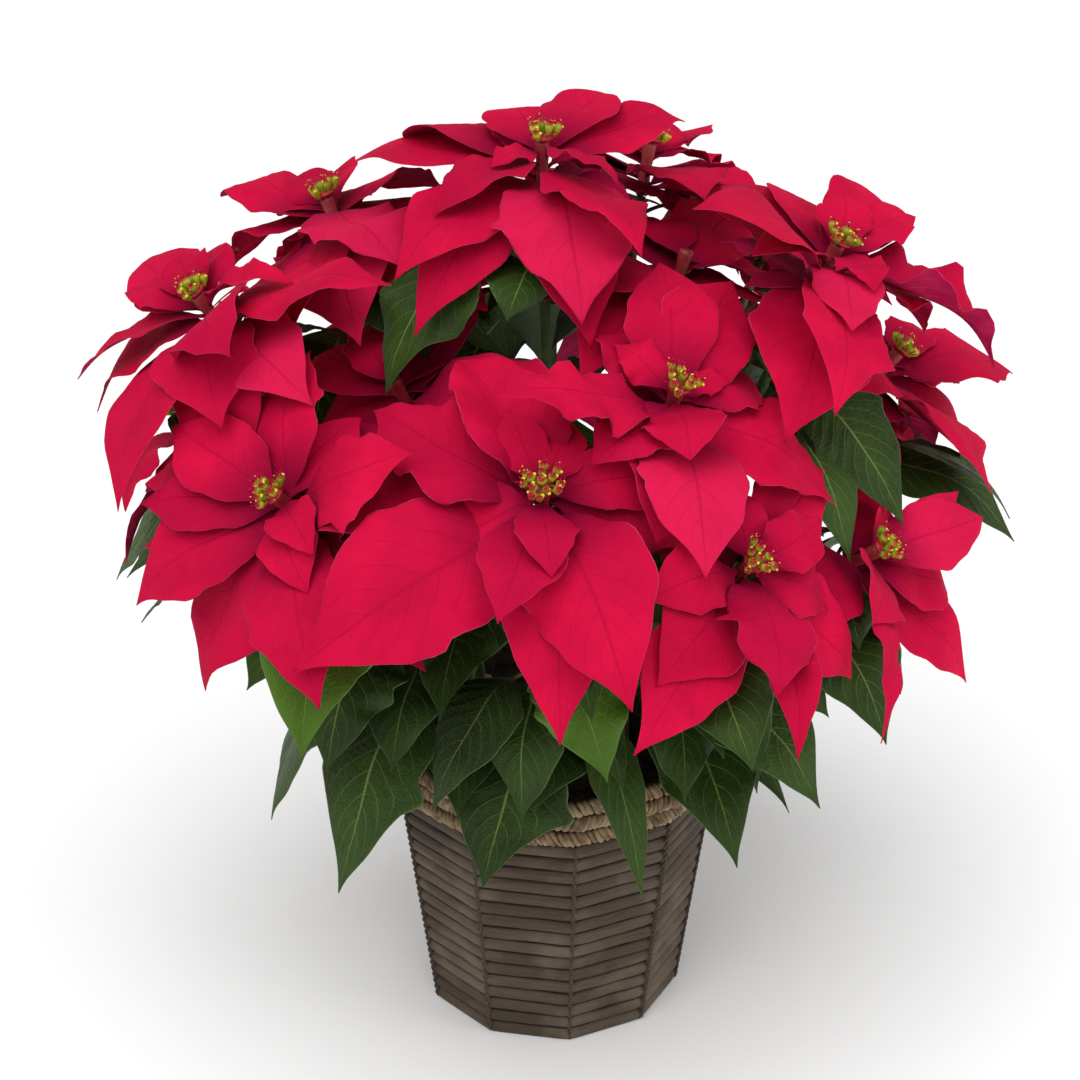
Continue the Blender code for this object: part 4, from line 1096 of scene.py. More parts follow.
def make_bloom_pieces(grown, centres, thicket, materials):
    """Each bloom's bracts as one piece and its coloured stem tip as another."""
    heights = np.linspace(-HUB_DROP - HUB_H, -HUB_DROP, TIP_RINGS)
    radii = np.linspace(HUB_R * 0.82, HUB_R * 0.95, TIP_RINGS) + 0.35 * np.sin(np.linspace(0, 9.0, TIP_RINGS))
    for name, (centre, axis) in centres.items():
        bracts = Body()
        for blade, look, amount in grown[name]:
            add_blade(bracts, blade, look, amount)
        for blade, look in inner_bracts(name, centre, axis, thicket):
            add_blade(bracts, blade, look, INNER_AMOUNT, INNER_BRACT_GRID)
        bracts.piece("bracts" + name[5:], materials["bract"], name)
        tip = Body()
        tip.tube(sweep([centre + axis * h for h in heights], radii, 12), TINT_TIP)
        tip.piece("stem_tip" + name[5:], materials["stem"], name)


def add_cup(body, foot, lean, height, width, ripe, rng):
    """One cup of the flower cluster: green below, red-lipped, with a yellow gland and red threads."""
    spin = facing(lean)
    rings = []
    for rise, share in CUP_FORM:
        middle = foot + lean * height * rise
        outs = [spin @ level_at(a) * width * share * (1 + 0.10 * math.cos(5 * a)) for a in even_turns(10)]
        rings.append([np.add(middle, out) for out in outs])
    lip = np.clip((np.array(CUP_FORM)[:, :1] - 0.68) / 0.3, 0, 1) * ripe
    body.tube(rings, (rng.random(), lip, 0.0))
    gland = foot + lean * height * 0.72 + spin @ level_at(ripe * 9) * width * 0.98
    ball(body, gland, 1.05, lean, (rng.random(), 0.0, 0.9), flat=0.75)
    for a in even_turns(4):
        out = spin @ level_at(a + rng.uniform(-0.5, 0.5))
        start = foot + lean * height * 0.92 + out * width * 0.25
        add_thread(body, start, lean * rng.uniform(1.6, 3.2) + out * rng.uniform(0.5, 1.8), lean, rng)


def add_thread(body, start, reach, up, rng):
    """A red thread with a small bead on its end."""
    end = start + reach
    bend = start.lerp(end, 0.5) + up * rng.uniform(0.1, 0.5)
    body.tube(sweep([start, bend, end], [0.28, 0.24, 0.20], 4), TINT_THREAD)
    ball(body, end, 0.36, up, (0.5, 1.0, rng.choice((0.0, 0.0, 0.0, 0.9))), sides=6)


def ball(body, middle, radius, up, tint, sides=8, flat=1.0):
    """A small round bead."""
    spin = facing(up)
    body.tube([[middle + spin @ point * radius for point in circle(math.sin(t), -math.cos(t) * flat, sides)]
               for t in np.linspace(0.2, math.pi - 0.2, BALL_RINGS)], tint)


def make_cyathia_pieces(centres, materials):
    """The flower clusters: cups on short stalks over a small disc."""
    for name, (centre, axis) in centres.items():
        if name in YOUNG:
            continue
        rng = random.Random("cups of " + name)
        body = Body()
        spin = facing(axis)
        line = [centre + axis * h for h in (-HUB_DROP + GAP, -2.6, -1.4, -0.6)]
        body.tube(sweep(line, [4.2, 6.6, 6.2, 3.0], 12), TINT_DISC)
        count, step = (8, 0.785) if name == TWIN_BLOOM else (3, 2.094)
        spots = [(0.0, 0.0)] + [(4.8, k * 1.2566 + 0.3) for k in range(5)]
        spots += [(8.0, k * step + 0.1) for k in range(count)]
        for ring, turn in spots:
            out = level_at(turn + rng.uniform(-0.25, 0.25))
            lean = spin @ (UP + out * ring * 0.06).normalized()
            foot = centre + spin @ (out * ring + UP * (rng.uniform(0.0, 2.4) - ring * 0.24))
            stalk_foot = centre + spin @ (out * ring * 0.45 - UP * 2.0)
            stalk = [stalk_foot.lerp(foot, t) for t in (0, 0.5, 1)]
            body.tube(sweep(stalk, [1.0, 0.8, 0.9], 8), TINT_STALK)
            height, width, ripe = rng.uniform(5.0, 7.0), rng.uniform(1.9, 2.5), rng.uniform(0.55, 0.95)
            add_cup(body, foot, lean, height, width, ripe, rng)
        for turn in even_turns(11):
            out = spin @ level_at(turn + rng.uniform(-0.25, 0.25))
            start = centre + out * rng.uniform(4.5, 6.5) - axis * 1.2
            add_thread(body, start, out * rng.uniform(2.5, 4.0) + axis * rng.uniform(2.0, 4.5), axis, rng)
        body.piece("flowers" + name[5:], materials["cyathia"], "cyathia" + name[5:])


def ten_sided(radius, step):
    """A point on the basket's outline: (x, y), with its corners eased."""
    side = step // STEPS_A_SIDE
    share = (step % STEPS_A_SIDE) / STEPS_A_SIDE
    first = BASKET_TURN + 2 * math.pi * side / SIDES
    second = BASKET_TURN + 2 * math.pi * (side + 1) / SIDES
    a = np.array((math.cos(first), math.sin(first)))
    b = np.array((math.cos(second), math.sin(second)))
    near_corner = math.exp(-(min(share, 1 - share) / 0.05) ** 2)
    return (a * (1 - share) + b * share) * radius * (1 - CORNER_EASE * near_corner)


def strip_section(strip):
    """One strip cut across, as (radius, height, share of painted shade): proud below, tucked in above."""
    low = strip * STRIP_H
    high = low + STRIP_H
    foot = basket_r(low)
    head = basket_r(high) - STRIP_LAP
    section = [(foot + out, low + rise, painted_shade) for out, rise, painted_shade in STRIP_FOOT]
    section += [(head + out, high + rise, painted_shade) for out, rise, painted_shade in STRIP_HEAD]
    return [(radius, max(z, 0.0), painted_shade) for radius, z, painted_shade in section]


def make_basket_pieces(materials):
    """Lapped strips round a cup, and a stitched cord over each corner."""
    body = Body()
    rng = random.Random("strips")
    steps = range(SIDES * STEPS_A_SIDE)
    for strip in range(STRIPS):
        section = strip_section(strip)
        tones = [rng.random() for _ in range(SIDES)]
        wander = rng.uniform(0, 6.28)
        rings = []
        for step in steps:
            bend = 0.26 * math.sin(step * 0.61 + wander) + 0.16 * math.sin(step * 1.7 + 2 * wander)
            if strip == 0:
                bend = 0.0
            rings.append([(*ten_sided(radius, step), max(z + bend, 0.0)) for radius, z, _ in section])
        tone = np.repeat(tones, STEPS_A_SIDE)[:, None]
        # The second tint number is painted shade where the strip tucks under its neighbour
        body.tube(rings, (tone, [painted_shade for _, _, painted_shade in section], 0.0), closed=True)
    cup = [(0.5, BASKET_FLOOR), (BASE_R - BASKET_WALL - 1.0, BASKET_FLOOR),
           (BASE_R - BASKET_WALL, BASKET_FLOOR + 0.8), (BROWN_TOP_R - BASKET_WALL, BROWN_H - 0.5),
           (BROWN_TOP_R - 3.0, BROWN_H - 0.6), (BASE_R - 3.0, 0.8), (BASE_R - 4.0, 0.0), (0.5, 0.0)]
    rings = [[(*ten_sided(radius, step), z) for step in steps] for radius, z in cup]
    body.tube(rings, TINT_CUP, closed=True)
    body.piece("basket_strips", materials["strip"], "basket_body")
    for corner in range(SIDES):
        make_corner_cord(corner, materials["cord"])


def make_corner_cord(corner, material):
    """Two strands twisted once for every strip over one corner. Some corners are stitched with finer cord."""
    thick, reach, inset, swing, pale = FINE_CORD if corner + 1 in FINE_CORNERS else PLAIN_CORD
    body = Body()
    angle = BASKET_TURN + 2 * math.pi * corner / SIDES
    out = np.array((math.cos(angle), math.sin(angle), 0.0))
    across = np.array((-math.sin(angle), math.cos(angle), 0.0))
    heights = np.linspace(CORD_DROP - 1.0, BROWN_H - 0.6, CORD_RINGS)
    for strand in range(2):
        line = []
        for z in heights:
            turn = 2 * math.pi * z / STRIP_H + strand * math.pi
            radius = basket_r(z) - inset + swing * math.cos(turn)
            line.append(out * radius + across * reach * math.sin(turn) + np.array((0, 0, z)))
        body.tube(sweep(line, thick, 7), (pale * strand, 0.0, 0.0))
    core = [out * (basket_r(z) - 1.9) + np.array((0, 0, z)) for z in heights[::20]]
    body.tube(sweep(core, 1.25, 8), (0.0, 0.0, 0.0))
    number = f"{corner + 1:02d}"
    body.piece("corner_braid_" + number, material, "corner_cord_" + number)


def make_rim_pieces(materials):
    """Three ropes of seagrass, each of strands wound steeply, over a thin lining that is painted shade all
    over.
    """
    row_h = RIM_H / RIM_ROWS
    flare = (RIM_TOP_R - BROWN_TOP_R) / RIM_H
    bottom = BROWN_H + GAP
    ropes = Body()
    rng = random.Random("rim")
    count = ROPE_TURNS * ROPE_STEPS
    along = np.arange(count) / count
    angle = BASKET_TURN + 2 * math.pi * along
    share = corner_share(angle)
    shares = np.zeros((count, 8, 2))
    shares[..., 0] = (along * 200)[:, None]
    shares[..., 1] = np.arange(8) / 8
    for row in range(RIM_ROWS):
        middle = bottom + (row + 0.5) * row_h
        wall = BROWN_TOP_R + flare * (row + 0.5) * row_h
        hand = 1 if row % 2 else -1
        sag = rng.uniform(0, 6.28)
        for strand in range(ROPE_STRANDS):
            own = rng.uniform(0, 6.28)
            turn = hand * ROPE_TURNS * 2 * math.pi * along + strand * 2 * math.pi / ROPE_STRANDS + row
            turn = turn + 0.45 * np.sin(7 * angle + sag) + 0.25 * np.sin(23 * angle + own)
            wander = 0.35 * np.sin(9 * angle + own) + 0.25 * np.sin(31 * angle + sag)
            reach = wall * share - 1.5 + 2.8 * np.cos(turn) + wander
            z = middle + 3.6 * np.sin(turn) + 0.35 * np.sin(3 * angle + sag)
            radii = 1.95 + 0.30 * np.sin(along * 377 + own) + 0.20 * np.sin(along * 811 + sag)
            patchy = (0.5 + 0.5 * np.sin(41 * angle + own))[:, None]
            # Painted shade: how far the strand has turned in, under the others
            sunk = (0.5 - 0.5 * np.cos(turn))[:, None]
            rings = sweep(wrap(reach, angle, z), radii, 8, squash=0.8)
            ropes.tube(rings, (0.3 + 0.7 * rng.random(), patchy, sunk), shares, closed=True)
    ropes.piece("rim_ropes", materials["seagrass"], "basket_rim")
    lining = Body()
    section = [(BROWN_TOP_R - RIM_IN + 0.2, bottom), (RIM_TOP_R - RIM_IN + 0.2, bottom + RIM_H - 3.0),
               (RIM_TOP_R - 4.4, bottom + RIM_H - 3.0), (BROWN_TOP_R - 4.4, bottom)]
    angle = BASKET_TURN + even_turns(120)
    rings = np.stack([wrap(r * corner_share(angle), angle, z) for r, z in section], axis=1)
    lining.tube(rings, TINT_LINING, closed=True)
    lining.piece("rim_lining", materials["seagrass"], "basket_rim", smooth=False)


def make_pot_piece(materials):
    """The nursery pot, with a rounded lip."""
    low = BASKET_FLOOR + GAP
    top = low + POT_H
    inner = POT_TOP_R - POT_WALL
    outer = POT_TOP_R + POT_LIP
    lip = top - POT_LIP_H
    profile = [(0.4, low + POT_FLOOR), (POT_BASE_R - POT_WALL - 2, low + POT_FLOOR),
               (POT_BASE_R - POT_WALL, low + POT_FLOOR + 2), (inner - 0.3, top - 2.0),
               (inner + 0.2, top - 0.6), (inner + 1.0, top), (outer - 0.8, top), (outer - 0.1, top - 0.8),
               (outer, lip + 0.8), (outer - 0.7, lip), (POT_TOP_R - 0.8, lip + 0.4),
               (POT_TOP_R - 1.2, lip - 1.0), (POT_BASE_R + 0.2, low + 2.0), (POT_BASE_R - 1.6, low),
               (0.4, low)]
    body = Body()
    body.tube([wrap(radius, even_turns(ROUND_SIDES), z) for radius, z in profile], TINT_POT)
    body.piece("growers_pot", materials["pot"], "nursery_pot")


def make_soil_piece(materials):
    """The root ball: a lumpy top with crumbs and pale specks of grit, and a plain body below."""
    low = BASKET_FLOOR + GAP + POT_FLOOR + GAP
    slope = (POT_TOP_R - POT_BASE_R) / POT_H

    def inside(z):
        return POT_BASE_R - POT_WALL + slope * (z - low) - 3 * GAP

    def sunk(radius, drop):
        """Height of the soil's top, which falls off towards the pot's wall."""
        return SOIL_TOP - drop - 2.6 * (radius / inside(SOIL_TOP)) ** 3

    rng = np.random.default_rng(7)
    turn = even_turns(ROUND_SIDES)
    rings = []
    for radius in (0.5, *np.linspace(3.0, inside(SOIL_TOP) - 1.5, 26)):
        bumps = 1.0 * np.sin(radius * 0.31 + 3 * turn) * np.sin(radius * 0.17 - 5 * turn + 1.0)
        rings.append(wrap(radius, turn, sunk(radius, 1.4) + bumps + rng.uniform(-0.55, 0.55, ROUND_SIDES)))
    for z in (SOIL_TOP - SOIL_SINK - 1.5, (low + SOIL_TOP) / 2, low + 1.0):
        rings.append(wrap(inside(z), turn, z))
    rings.append(wrap(0.5, turn, low))
    body = Body()
    body.tube(rings, TINT_SOIL)
    draws = random.Random("crumbs")
    for k in range(CRUMBS):
        radius = (inside(SOIL_TOP) - 6.0) * math.sqrt(draws.random())
        a = draws.uniform(0, 2 * math.pi)
        middle = Vector((radius * math.cos(a), radius * math.sin(a), sunk(radius, 1.6)))
        size = draws.uniform(0.6, 2.0)
        pale = 1.0 if k % GRIT_EVERY == 0 else 0.0
        up = Vector([draws.uniform(-1, 1) for _ in range(3)]).normalized()
        ball(body, middle, size * (0.6 if pale else 1.0), up, (draws.random(), pale, 0.0), sides=7,
             flat=draws.uniform(0.5, 0.9))
    body.piece("soil_crumbs", materials["soil"], "soil")


class Nodes:
    """Short calls for building a material's nodes. Colours are (red, green, blue)."""

    def __init__(self, name, roughness, specular=0.5):
        self.material = bpy.data.materials.new(name)
        self.material.use_nodes = True
        self.tree = self.material.node_tree
        self.shader = self.tree.nodes["Principled BSDF"]
        self.shader.inputs["Roughness"].default_value = roughness
        self.shader.inputs["Specular IOR Level"].default_value = specular

    def put(self, socket, value):
        if isinstance(value, bpy.types.NodeSocket):
            self.tree.links.new(value, socket)
        else:
            socket.default_value = (*value, 1.0) if isinstance(value, tuple) else value

    def add(self, kind, inputs=(), **settings):
        """A new node's outputs. Inputs are (socket, value), a socket by its name or number."""
        node = self.tree.nodes.new("ShaderNode" + kind)
        for name, value in settings.items():
            setattr(node, name, value)
        for key, value in inputs:
            self.put(node.inputs[key], value)
        return node.outputs

    def math(self, operation, *values):
        return self.add("Math", enumerate(values), operation=operation)[0]

    def plus(self, a, b):
        return self.math("ADD", a, b)

    def minus(self, a, b):
        return self.math("SUBTRACT", a, b)

    def times(self, a, b):
        return self.math("MULTIPLY", a, b)

    def ramp(self, value, low, high):
        """0 below low, 1 above high, smooth between; turned round where high is less than low."""
        ends = (0.0, 1.0) if low < high else (1.0, 0.0)
        inputs = enumerate((value, min(low, high), max(low, high), *ends))
        return self.add("MapRange", inputs, interpolation_type="SMOOTHSTEP")[0]

    def mix(self, share, first, second):
        return self.add("Mix", ((0, share), (6, first), (7, second)), data_type="RGBA")[2]

    def coats(self, colour, *coats):
        """A colour under coats of (share, strength, colour), the lowest one first."""
        for share, strength, over in coats:
            colour = self.mix(share if strength == 1 else self.times(share, strength), colour, over)
        return colour

    def shares(self):
        """Share along a blade, signed share across it, and its size."""
        along, across, _ = self.add("SeparateXYZ", [(0, self.add("UVMap", uv_map="Shares")[0])])
        across = self.minus(self.times(across, 2.0), 1.0)
        return along, across, self.math("ABSOLUTE", across)

    def tint(self):
        """The piece's own three numbers at each point."""
        return tuple(self.add("SeparateColor", [(0, self.add("VertexColor", layer_name="Tint")[0])]))

    def place(self, x, y, z):
        return self.add("CombineXYZ", enumerate((x, y, z)))[0]

    def object_place(self):
        return self.add("TexCoord")["Object"]

    def noise(self, scale, detail, roughness=0.55, at=None):
        """Soft noise over the object's own space, or over the given place."""
        at = self.object_place() if at is None else at
        inputs = ("Vector", at), ("Scale", scale), ("Detail", detail), ("Roughness", roughness)
        return self.add("TexNoise", inputs)[0]

    def cells(self, at):
        """Distance to the nearest edge of a net of cells."""
        return self.add("TexVoronoi", [("Vector", at), ("Scale", 1.0)], feature="DISTANCE_TO_EDGE")[0]

    def bump(self, height, strength, distance):
        inputs = ("Height", height), ("Strength", strength), ("Distance", distance)
        self.put(self.shader.inputs["Normal"], self.add("Bump", inputs)[0])

    def glow(self, colour, share):
        """Lets some light through from the far side of a thin blade."""
        through = self.add("BsdfTranslucent", [("Color", colour)])[0]
        blend = self.add("MixShader", ((0, share), (1, self.shader.outputs[0]), (2, through)))[0]
        self.put(self.tree.nodes["Material Output"].inputs["Surface"], blend)

    def finish(self, colour, roughness=None):
        self.put(self.shader.inputs["Base Color"], colour)
        if roughness is not None:
            self.put(self.shader.inputs["Roughness"], roughness)
        return self.material


def vein_lines(n, along, across, size, pairs, lean, width):
    """Curved side veins that leave the midrib in turn on either hand, and fade towards the edge."""
    hand = n.times(n.math("SIGN", across), 0.22)
    bowed = n.times(n.math("POWER", size, 1.25), lean)
    count = n.plus(n.minus(n.times(along, pairs), bowed), hand)
    saw = n.math("ABSOLUTE", n.minus(n.math("FRACT", count), 0.5))
    return n.times(n.ramp(saw, width, 0.0), n.ramp(size, 1.02, 0.55))


def bract_material():
    """Velvety crimson, with faint sunken veins, a painted highlight along the edge and a pinker underside.
    Painted shade darkens each bract's base and the low inner bracts.
    """
    n = Nodes("bract_velvet", 0.75, 0.06)
    along, across, size = n.shares()
    tone, under, deep_tone_and_painted_shade = n.tint()
    blade = n.ramp(along, 0.06, 0.12)
    veins = n.times(vein_lines(n, along, across, size, 9.0, 2.5, 0.045), blade)
    rib = n.times(n.ramp(size, 0.050, 0.0), blade)
    net = n.cells(n.place(n.times(along, 30.0), n.times(across, 9.0), tone))
    below = n.mix(n.ramp(n.noise(60.0, 3.0), 0.35, 0.70), (0.50, 0.008, 0.085), (0.62, 0.024, 0.125))
    below = n.coats(below, (n.math("MAXIMUM", veins, rib), 0.5, (0.74, 0.10, 0.22)))
    colour = n.coats(
        n.mix(n.ramp(n.noise(28.0, 3.0), 0.30, 0.72), (0.51, 0.0026, 0.040), (0.68, 0.0045, 0.051)),
        (n.ramp(tone, 0.55, 0.05), 0.45, (0.34, 0.0018, 0.036)),
        # Third tint number: a random deeper tone on most bracts, and painted shade in dark purple on the low
        # inner bracts
        (deep_tone_and_painted_shade, 0.30, (0.44, 0.0020, 0.038)),
        (n.ramp(deep_tone_and_painted_shade, 0.84, 0.92), 0.70, (0.22, 0.0016, 0.040)),
        (n.ramp(tone, 0.90, 0.97), 0.45, (0.72, 0.018, 0.095)),
        (veins, 0.22, (0.30, 0.0015, 0.030)),
        (rib, 0.40, (0.34, 0.0020, 0.035)),
        # Painted shade: darker towards each bract's base, where the bracts overlap
        (n.ramp(along, 0.46, 0.08), 0.70, (0.15, 0.0010, 0.030)),
        (under, 1, below),
        # Painted highlight: a thin pale rim along the edge
        (n.ramp(size, 0.98, 1.0), 0.70, (0.90, 0.10, 0.22)),
        (n.ramp(along, 0.09, 0.02), 1, (0.22, 0.004, 0.018)))
    height = n.minus(n.times(n.ramp(net, 0.0, 0.22), 0.16), n.plus(n.times(veins, 0.5), rib))
    height = n.plus(height, n.times(n.noise(120.0, 3.0), 1.6))
    height = n.plus(height, n.times(n.noise(42.0, 2.0), 4.0))
    n.bump(height, 0.45, 0.0008)
    n.glow(colour, 0.09)
    return n.finish(colour)


def leaf_material():
    """Dark satin green with pale veins and quilting between them, and a painted highlight along the edge; the
    stalk and lower midrib blush red.
    """
    n = Nodes("leaf_satin", 0.5, 0.22)
    along, across, size = n.shares()
    tone, under, young = n.tint()
    blade = n.ramp(along, 0.27, 0.31)
    veins = n.times(vein_lines(n, along, across, size, 12.0, 2.7, 0.050), blade)
    rib = n.times(n.ramp(n.plus(size, n.times(along, 0.02)), 0.052, 0.014), blade)
    net = n.cells(n.place(n.times(along, 42.0), n.times(across, 10.0), tone))
    blotch = n.noise(35.0, 4.0)
    patchy = n.ramp(blotch, 0.30, 0.75)
    below = n.coats(
        n.mix(patchy, (0.075, 0.13, 0.050), (0.12, 0.17, 0.070)),
        (n.ramp(tone, 0.80, 0.90), 1, (0.34, 0.19, 0.13)),
        (n.math("MAXIMUM", veins, rib), 0.5, (0.30, 0.34, 0.15)))
    colour = n.coats(
        n.mix(patchy, (0.019, 0.040, 0.005), (0.036, 0.076, 0.008)),
        (n.ramp(young, 0.25, 1.0), 0.35, (0.055, 0.125, 0.009)),
        (n.ramp(young, 0.88, 0.97), 1, (0.080, 0.18, 0.013)),
        (n.ramp(net, 0.05, 0.0), 0.12, (0.12, 0.20, 0.05)),
        (veins, 0.62, (0.19, 0.28, 0.075)),
        (rib, 0.85, n.mix(n.ramp(along, 0.30, 0.52), (0.22, 0.060, 0.040), (0.24, 0.33, 0.075))),
        (under, 1, below),
        # Painted highlight: a pale rim along the edge
        (n.ramp(size, MARGIN, 1.0), 0.55, (0.24, 0.33, 0.15)),
        (n.ramp(along, 0.30, 0.27), 1, n.mix(tone, (0.17, 0.030, 0.022), (0.16, 0.20, 0.05))))
    height = n.minus(n.times(n.ramp(net, 0.0, 0.20), 0.40), n.plus(n.times(veins, 0.9), rib))
    n.bump(n.plus(height, n.times(n.noise(60.0, 3.0), 2.6)), 0.60, 0.0009)
    n.glow(colour, 0.10)
    return n.finish(colour, n.plus(0.40, n.times(blotch, 0.20)))


def stem_material():
    """Green stems, brown and corky low down, crimson at a bloom."""
    n = Nodes("stem_skin", 0.5)
    _, high, _ = n.tint()
    streak = n.noise(120.0, 5.0)
    tip = n.mix(n.ramp(streak, 0.35, 0.65), (0.24, 0.010, 0.020), (0.34, 0.030, 0.030))
    n.bump(streak, 0.5, 0.0008)
    return n.finish(n.coats(
        n.mix(n.ramp(streak, 0.3, 0.7), (0.055, 0.12, 0.025), (0.11, 0.19, 0.045)),
        (n.ramp(high, 0.05, -0.35), 1, (0.13, 0.085, 0.045)),
        (n.ramp(streak, 0.55, 0.8), 0.4, (0.20, 0.06, 0.035)),
        (n.ramp(high, 1.2, 1.6), 1, tip)))


def cyathia_material():
    """Yellow-green cups with red lips, and yellow glands."""
    n = Nodes("flower_cups", 0.45, 0.3)
    tone, ripe, gold = n.tint()
    speck = n.noise(500.0, 3.0)
    n.bump(speck, 0.3, 0.0004)
    n.shader.inputs["Subsurface Weight"].default_value = 0.15
    n.shader.inputs["Subsurface Radius"].default_value = (0.002, 0.0015, 0.0006)
    return n.finish(n.coats(
        n.mix(tone, (0.20, 0.33, 0.014), (0.52, 0.56, 0.026)),
        (n.ramp(speck, 0.55, 0.75), 0.25, (0.55, 0.58, 0.08)),
        (n.ramp(ripe, 0.05, 0.50), 1, (0.36, 0.060, 0.016)),
        (n.ramp(ripe, 0.40, 0.90), 1, (0.42, 0.004, 0.030)),
        (n.ramp(gold, 0.4, 0.9), 1, (0.72, 0.66, 0.035))))


def strip_material():
    """Grey-brown strips with a fine lengthwise grain, each of its own tone, and painted shade where a strip
    tucks under the next; the lining is darker.
    """
    n = Nodes("basket_strip", 0.72, 0.3)
    tone, painted_shade, lining = n.tint()
    x, y, z = n.add("SeparateXYZ", [(0, n.object_place())])
    turn = n.math("ARCTAN2", y, x)
    grain = n.noise(1.0, 6.0, at=n.place(n.times(turn, 4.0), n.times(z, 900.0), 0.0))
    slats = n.noise(1.0, 2.0, at=n.place(n.times(turn, 2.0), n.times(z, 420.0), 3.0))
    n.bump(n.plus(grain, n.times(slats, 1.5)), 0.8, 0.0007)
    colour = n.coats(
        n.mix(tone, (0.055, 0.036, 0.022), (0.092, 0.064, 0.041)),
        (n.ramp(grain, 0.40, 0.70), 0.60, (0.038, 0.026, 0.021)),
        (n.ramp(n.noise(22.0, 3.0), 0.45, 0.70), 0.55, (0.175, 0.134, 0.096)),
        # Painted shade where a strip tucks under its neighbour, and half of it over the cup inside
        (n.ramp(painted_shade, 0.1, 0.9), 0.85, (0.010, 0.007, 0.005)),
        (lining, 0.8, (0.045, 0.034, 0.028)))
    return n.finish(colour, n.plus(0.58, n.times(grain, 0.2)))


def cord_material():
    """Dark twisted cord with fibres."""
    n = Nodes("corner_cord_fibre", 0.85)
    fibre = n.noise(900.0, 4.0)
    n.bump(fibre, 0.6, 0.0006)
    return n.finish(n.coats(
        n.mix(n.ramp(fibre, 0.35, 0.70), (0.030, 0.021, 0.014), (0.085, 0.062, 0.044)),
        (n.tint()[0], 0.6, (0.105, 0.080, 0.066))))


def seagrass_material():
    """Dry wound seagrass: fibres along each strand, tan with brown stretches, and painted shade where a
    strand turns in between the others.
    """
    n = Nodes("seagrass_strand", 0.75, 0.25)
    along, across, _ = n.shares()
    tone, patchy, sunk = n.tint()
    fibre = n.noise(2.0, 6.0, 0.7, n.place(n.times(along, 0.9), n.times(across, 11.0), tone))
    n.bump(fibre, 0.8, 0.0009)
    return n.finish(n.coats(
        n.mix(n.ramp(n.noise(110.0, 4.0), 0.34, 0.66), (0.17, 0.105, 0.054), (0.44, 0.31, 0.175)),
        (n.ramp(patchy, 0.6, 1.0), 0.40, (0.56, 0.42, 0.26)),
        (n.ramp(fibre, 0.45, 0.72), 0.60, (0.11, 0.062, 0.032)),
        # Painted shade where a strand turns in between the others, and over the whole rim lining
        (n.ramp(sunk, 0.22, 0.70), 0.92, (0.026, 0.016, 0.010))))


def pot_material():
    """Black grower's plastic with faint dust and fine moulding ripples."""
    n = Nodes("pot_plastic_dark", 0.45)
    dust = n.noise(60.0, 6.0)
    n.bump(n.noise(700.0, 2.0), 0.15, 0.0004)
    colour = n.mix(n.ramp(dust, 0.50, 0.80), (0.014, 0.014, 0.014), (0.050, 0.045, 0.040))
    return n.finish(colour, n.plus(0.36, n.times(dust, 0.3)))


def soil_material():
    """Moist peat with bark bits and pale specks of grit."""
    n = Nodes("peat_soil", 0.95)
    _, pale, _ = n.tint()
    grit = n.noise(450.0, 6.0, 0.7)
    n.bump(grit, 0.9, 0.002)
    return n.finish(n.coats(
        n.mix(n.ramp(grit, 0.35, 0.70), (0.016, 0.010, 0.007), (0.075, 0.046, 0.028)),
        (n.ramp(n.noise(120.0, 3.0), 0.55, 0.72), 0.5, (0.11, 0.060, 0.030)),
        (n.ramp(pale, 0.4, 0.6), 1, (0.55, 0.52, 0.46))))


def floor_material():
    n = Nodes("studio_floor", 0.9, 0.1)
    return n.finish(n.mix(n.noise(2.0, 2.0), (0.95, 0.95, 0.95), (0.97, 0.97, 0.97)))


def all_materials():
    return {"bract": bract_material(), "leaf": leaf_material(), "stem": stem_material(),
            "cyathia": cyathia_material(), "strip": strip_material(), "cord": cord_material(),
            "seagrass": seagrass_material(), "pot": pot_material(), "soil": soil_material()}


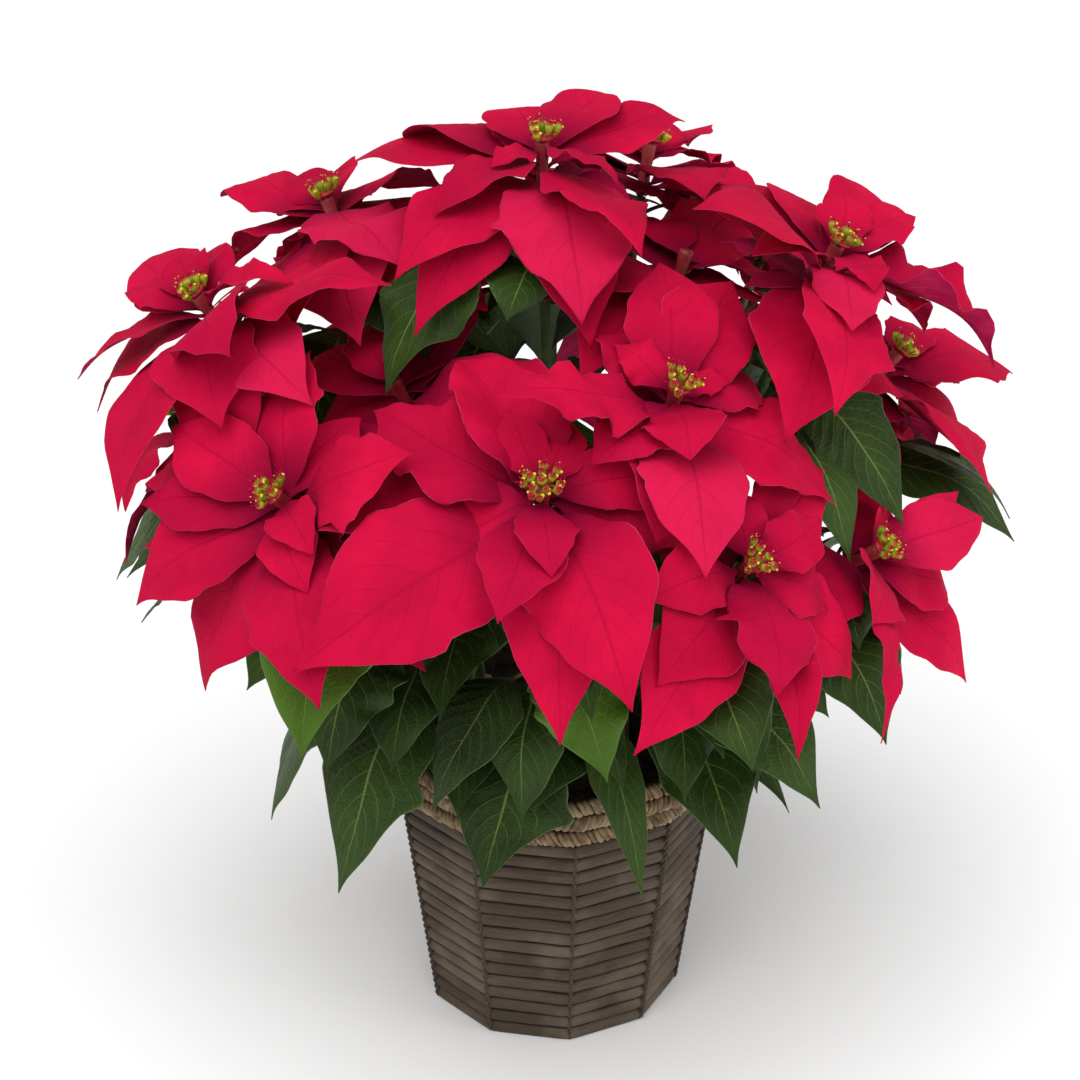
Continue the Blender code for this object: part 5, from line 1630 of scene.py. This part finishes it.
def place_camera():
    """The camera at the photograph's viewing angle."""
    data = bpy.data.cameras.new("camera")
    data.sensor_fit = "HORIZONTAL"
    data.sensor_width = 36.0
    data.lens = CAMERA_LENS
    camera = add_object("camera", data)
    back = Vector((0.0, -math.cos(CAMERA_RISE), math.sin(CAMERA_RISE))) * CAMERA_AWAY
    camera.location = CAMERA_AIM + back
    camera.rotation_euler = (math.pi / 2 - CAMERA_RISE, 0.0, 0.0)
    bpy.context.scene.camera = camera


def add_light(kind, name, location, aim, energy, size):
    """A soft light facing a point: a square one, or a broad sun whose size is its angle."""
    data = bpy.data.lights.new(name, kind)
    if kind == "SUN":
        data.angle = math.radians(size)
    else:
        data.shape = "SQUARE"
        data.size = size
    data.energy = energy
    light = add_object(name, data)
    light.location = location
    light.rotation_euler = (Vector(aim) - Vector(location)).to_track_quat("-Z", "Y").to_euler()


def make_studio():
    """A pale floor, an even pale surround, a broad key from above and soft lights at the side and front."""
    mesh = bpy.data.meshes.new("floor")
    corners = [(x * FLOOR_REACH, y * FLOOR_REACH, 0) for x, y in ((-1, -1), (1, -1), (1, 1), (-1, 1))]
    mesh.from_pydata(corners, [], [(0, 1, 2, 3)])
    mesh.materials.append(floor_material())
    add_object("floor", mesh)
    world = bpy.data.worlds.new("surround")
    world.use_nodes = True
    background = world.node_tree.nodes["Background"]
    background.inputs[0].default_value = (1.0, 1.0, 1.0, 1.0)
    background.inputs[1].default_value = SURROUND
    bpy.context.scene.world = world
    for light in LIGHTS:
        add_light(*light)
    bpy.context.scene.view_settings.view_transform = "Standard"


def main():
    place_camera()
    materials = all_materials()
    bracts, leaves, routes, centres, thicket = lay_out_plant()
    grown = fine_blades(bracts, {"plant_" + label: found for label, found in leaves.items()})
    make_basket_pieces(materials)
    make_rim_pieces(materials)
    make_pot_piece(materials)
    make_soil_piece(materials)
    make_plant_pieces(grown, routes, thicket, materials)
    make_bloom_pieces(grown, centres, thicket, materials)
    make_cyathia_pieces(centres, materials)
    make_studio()


main()
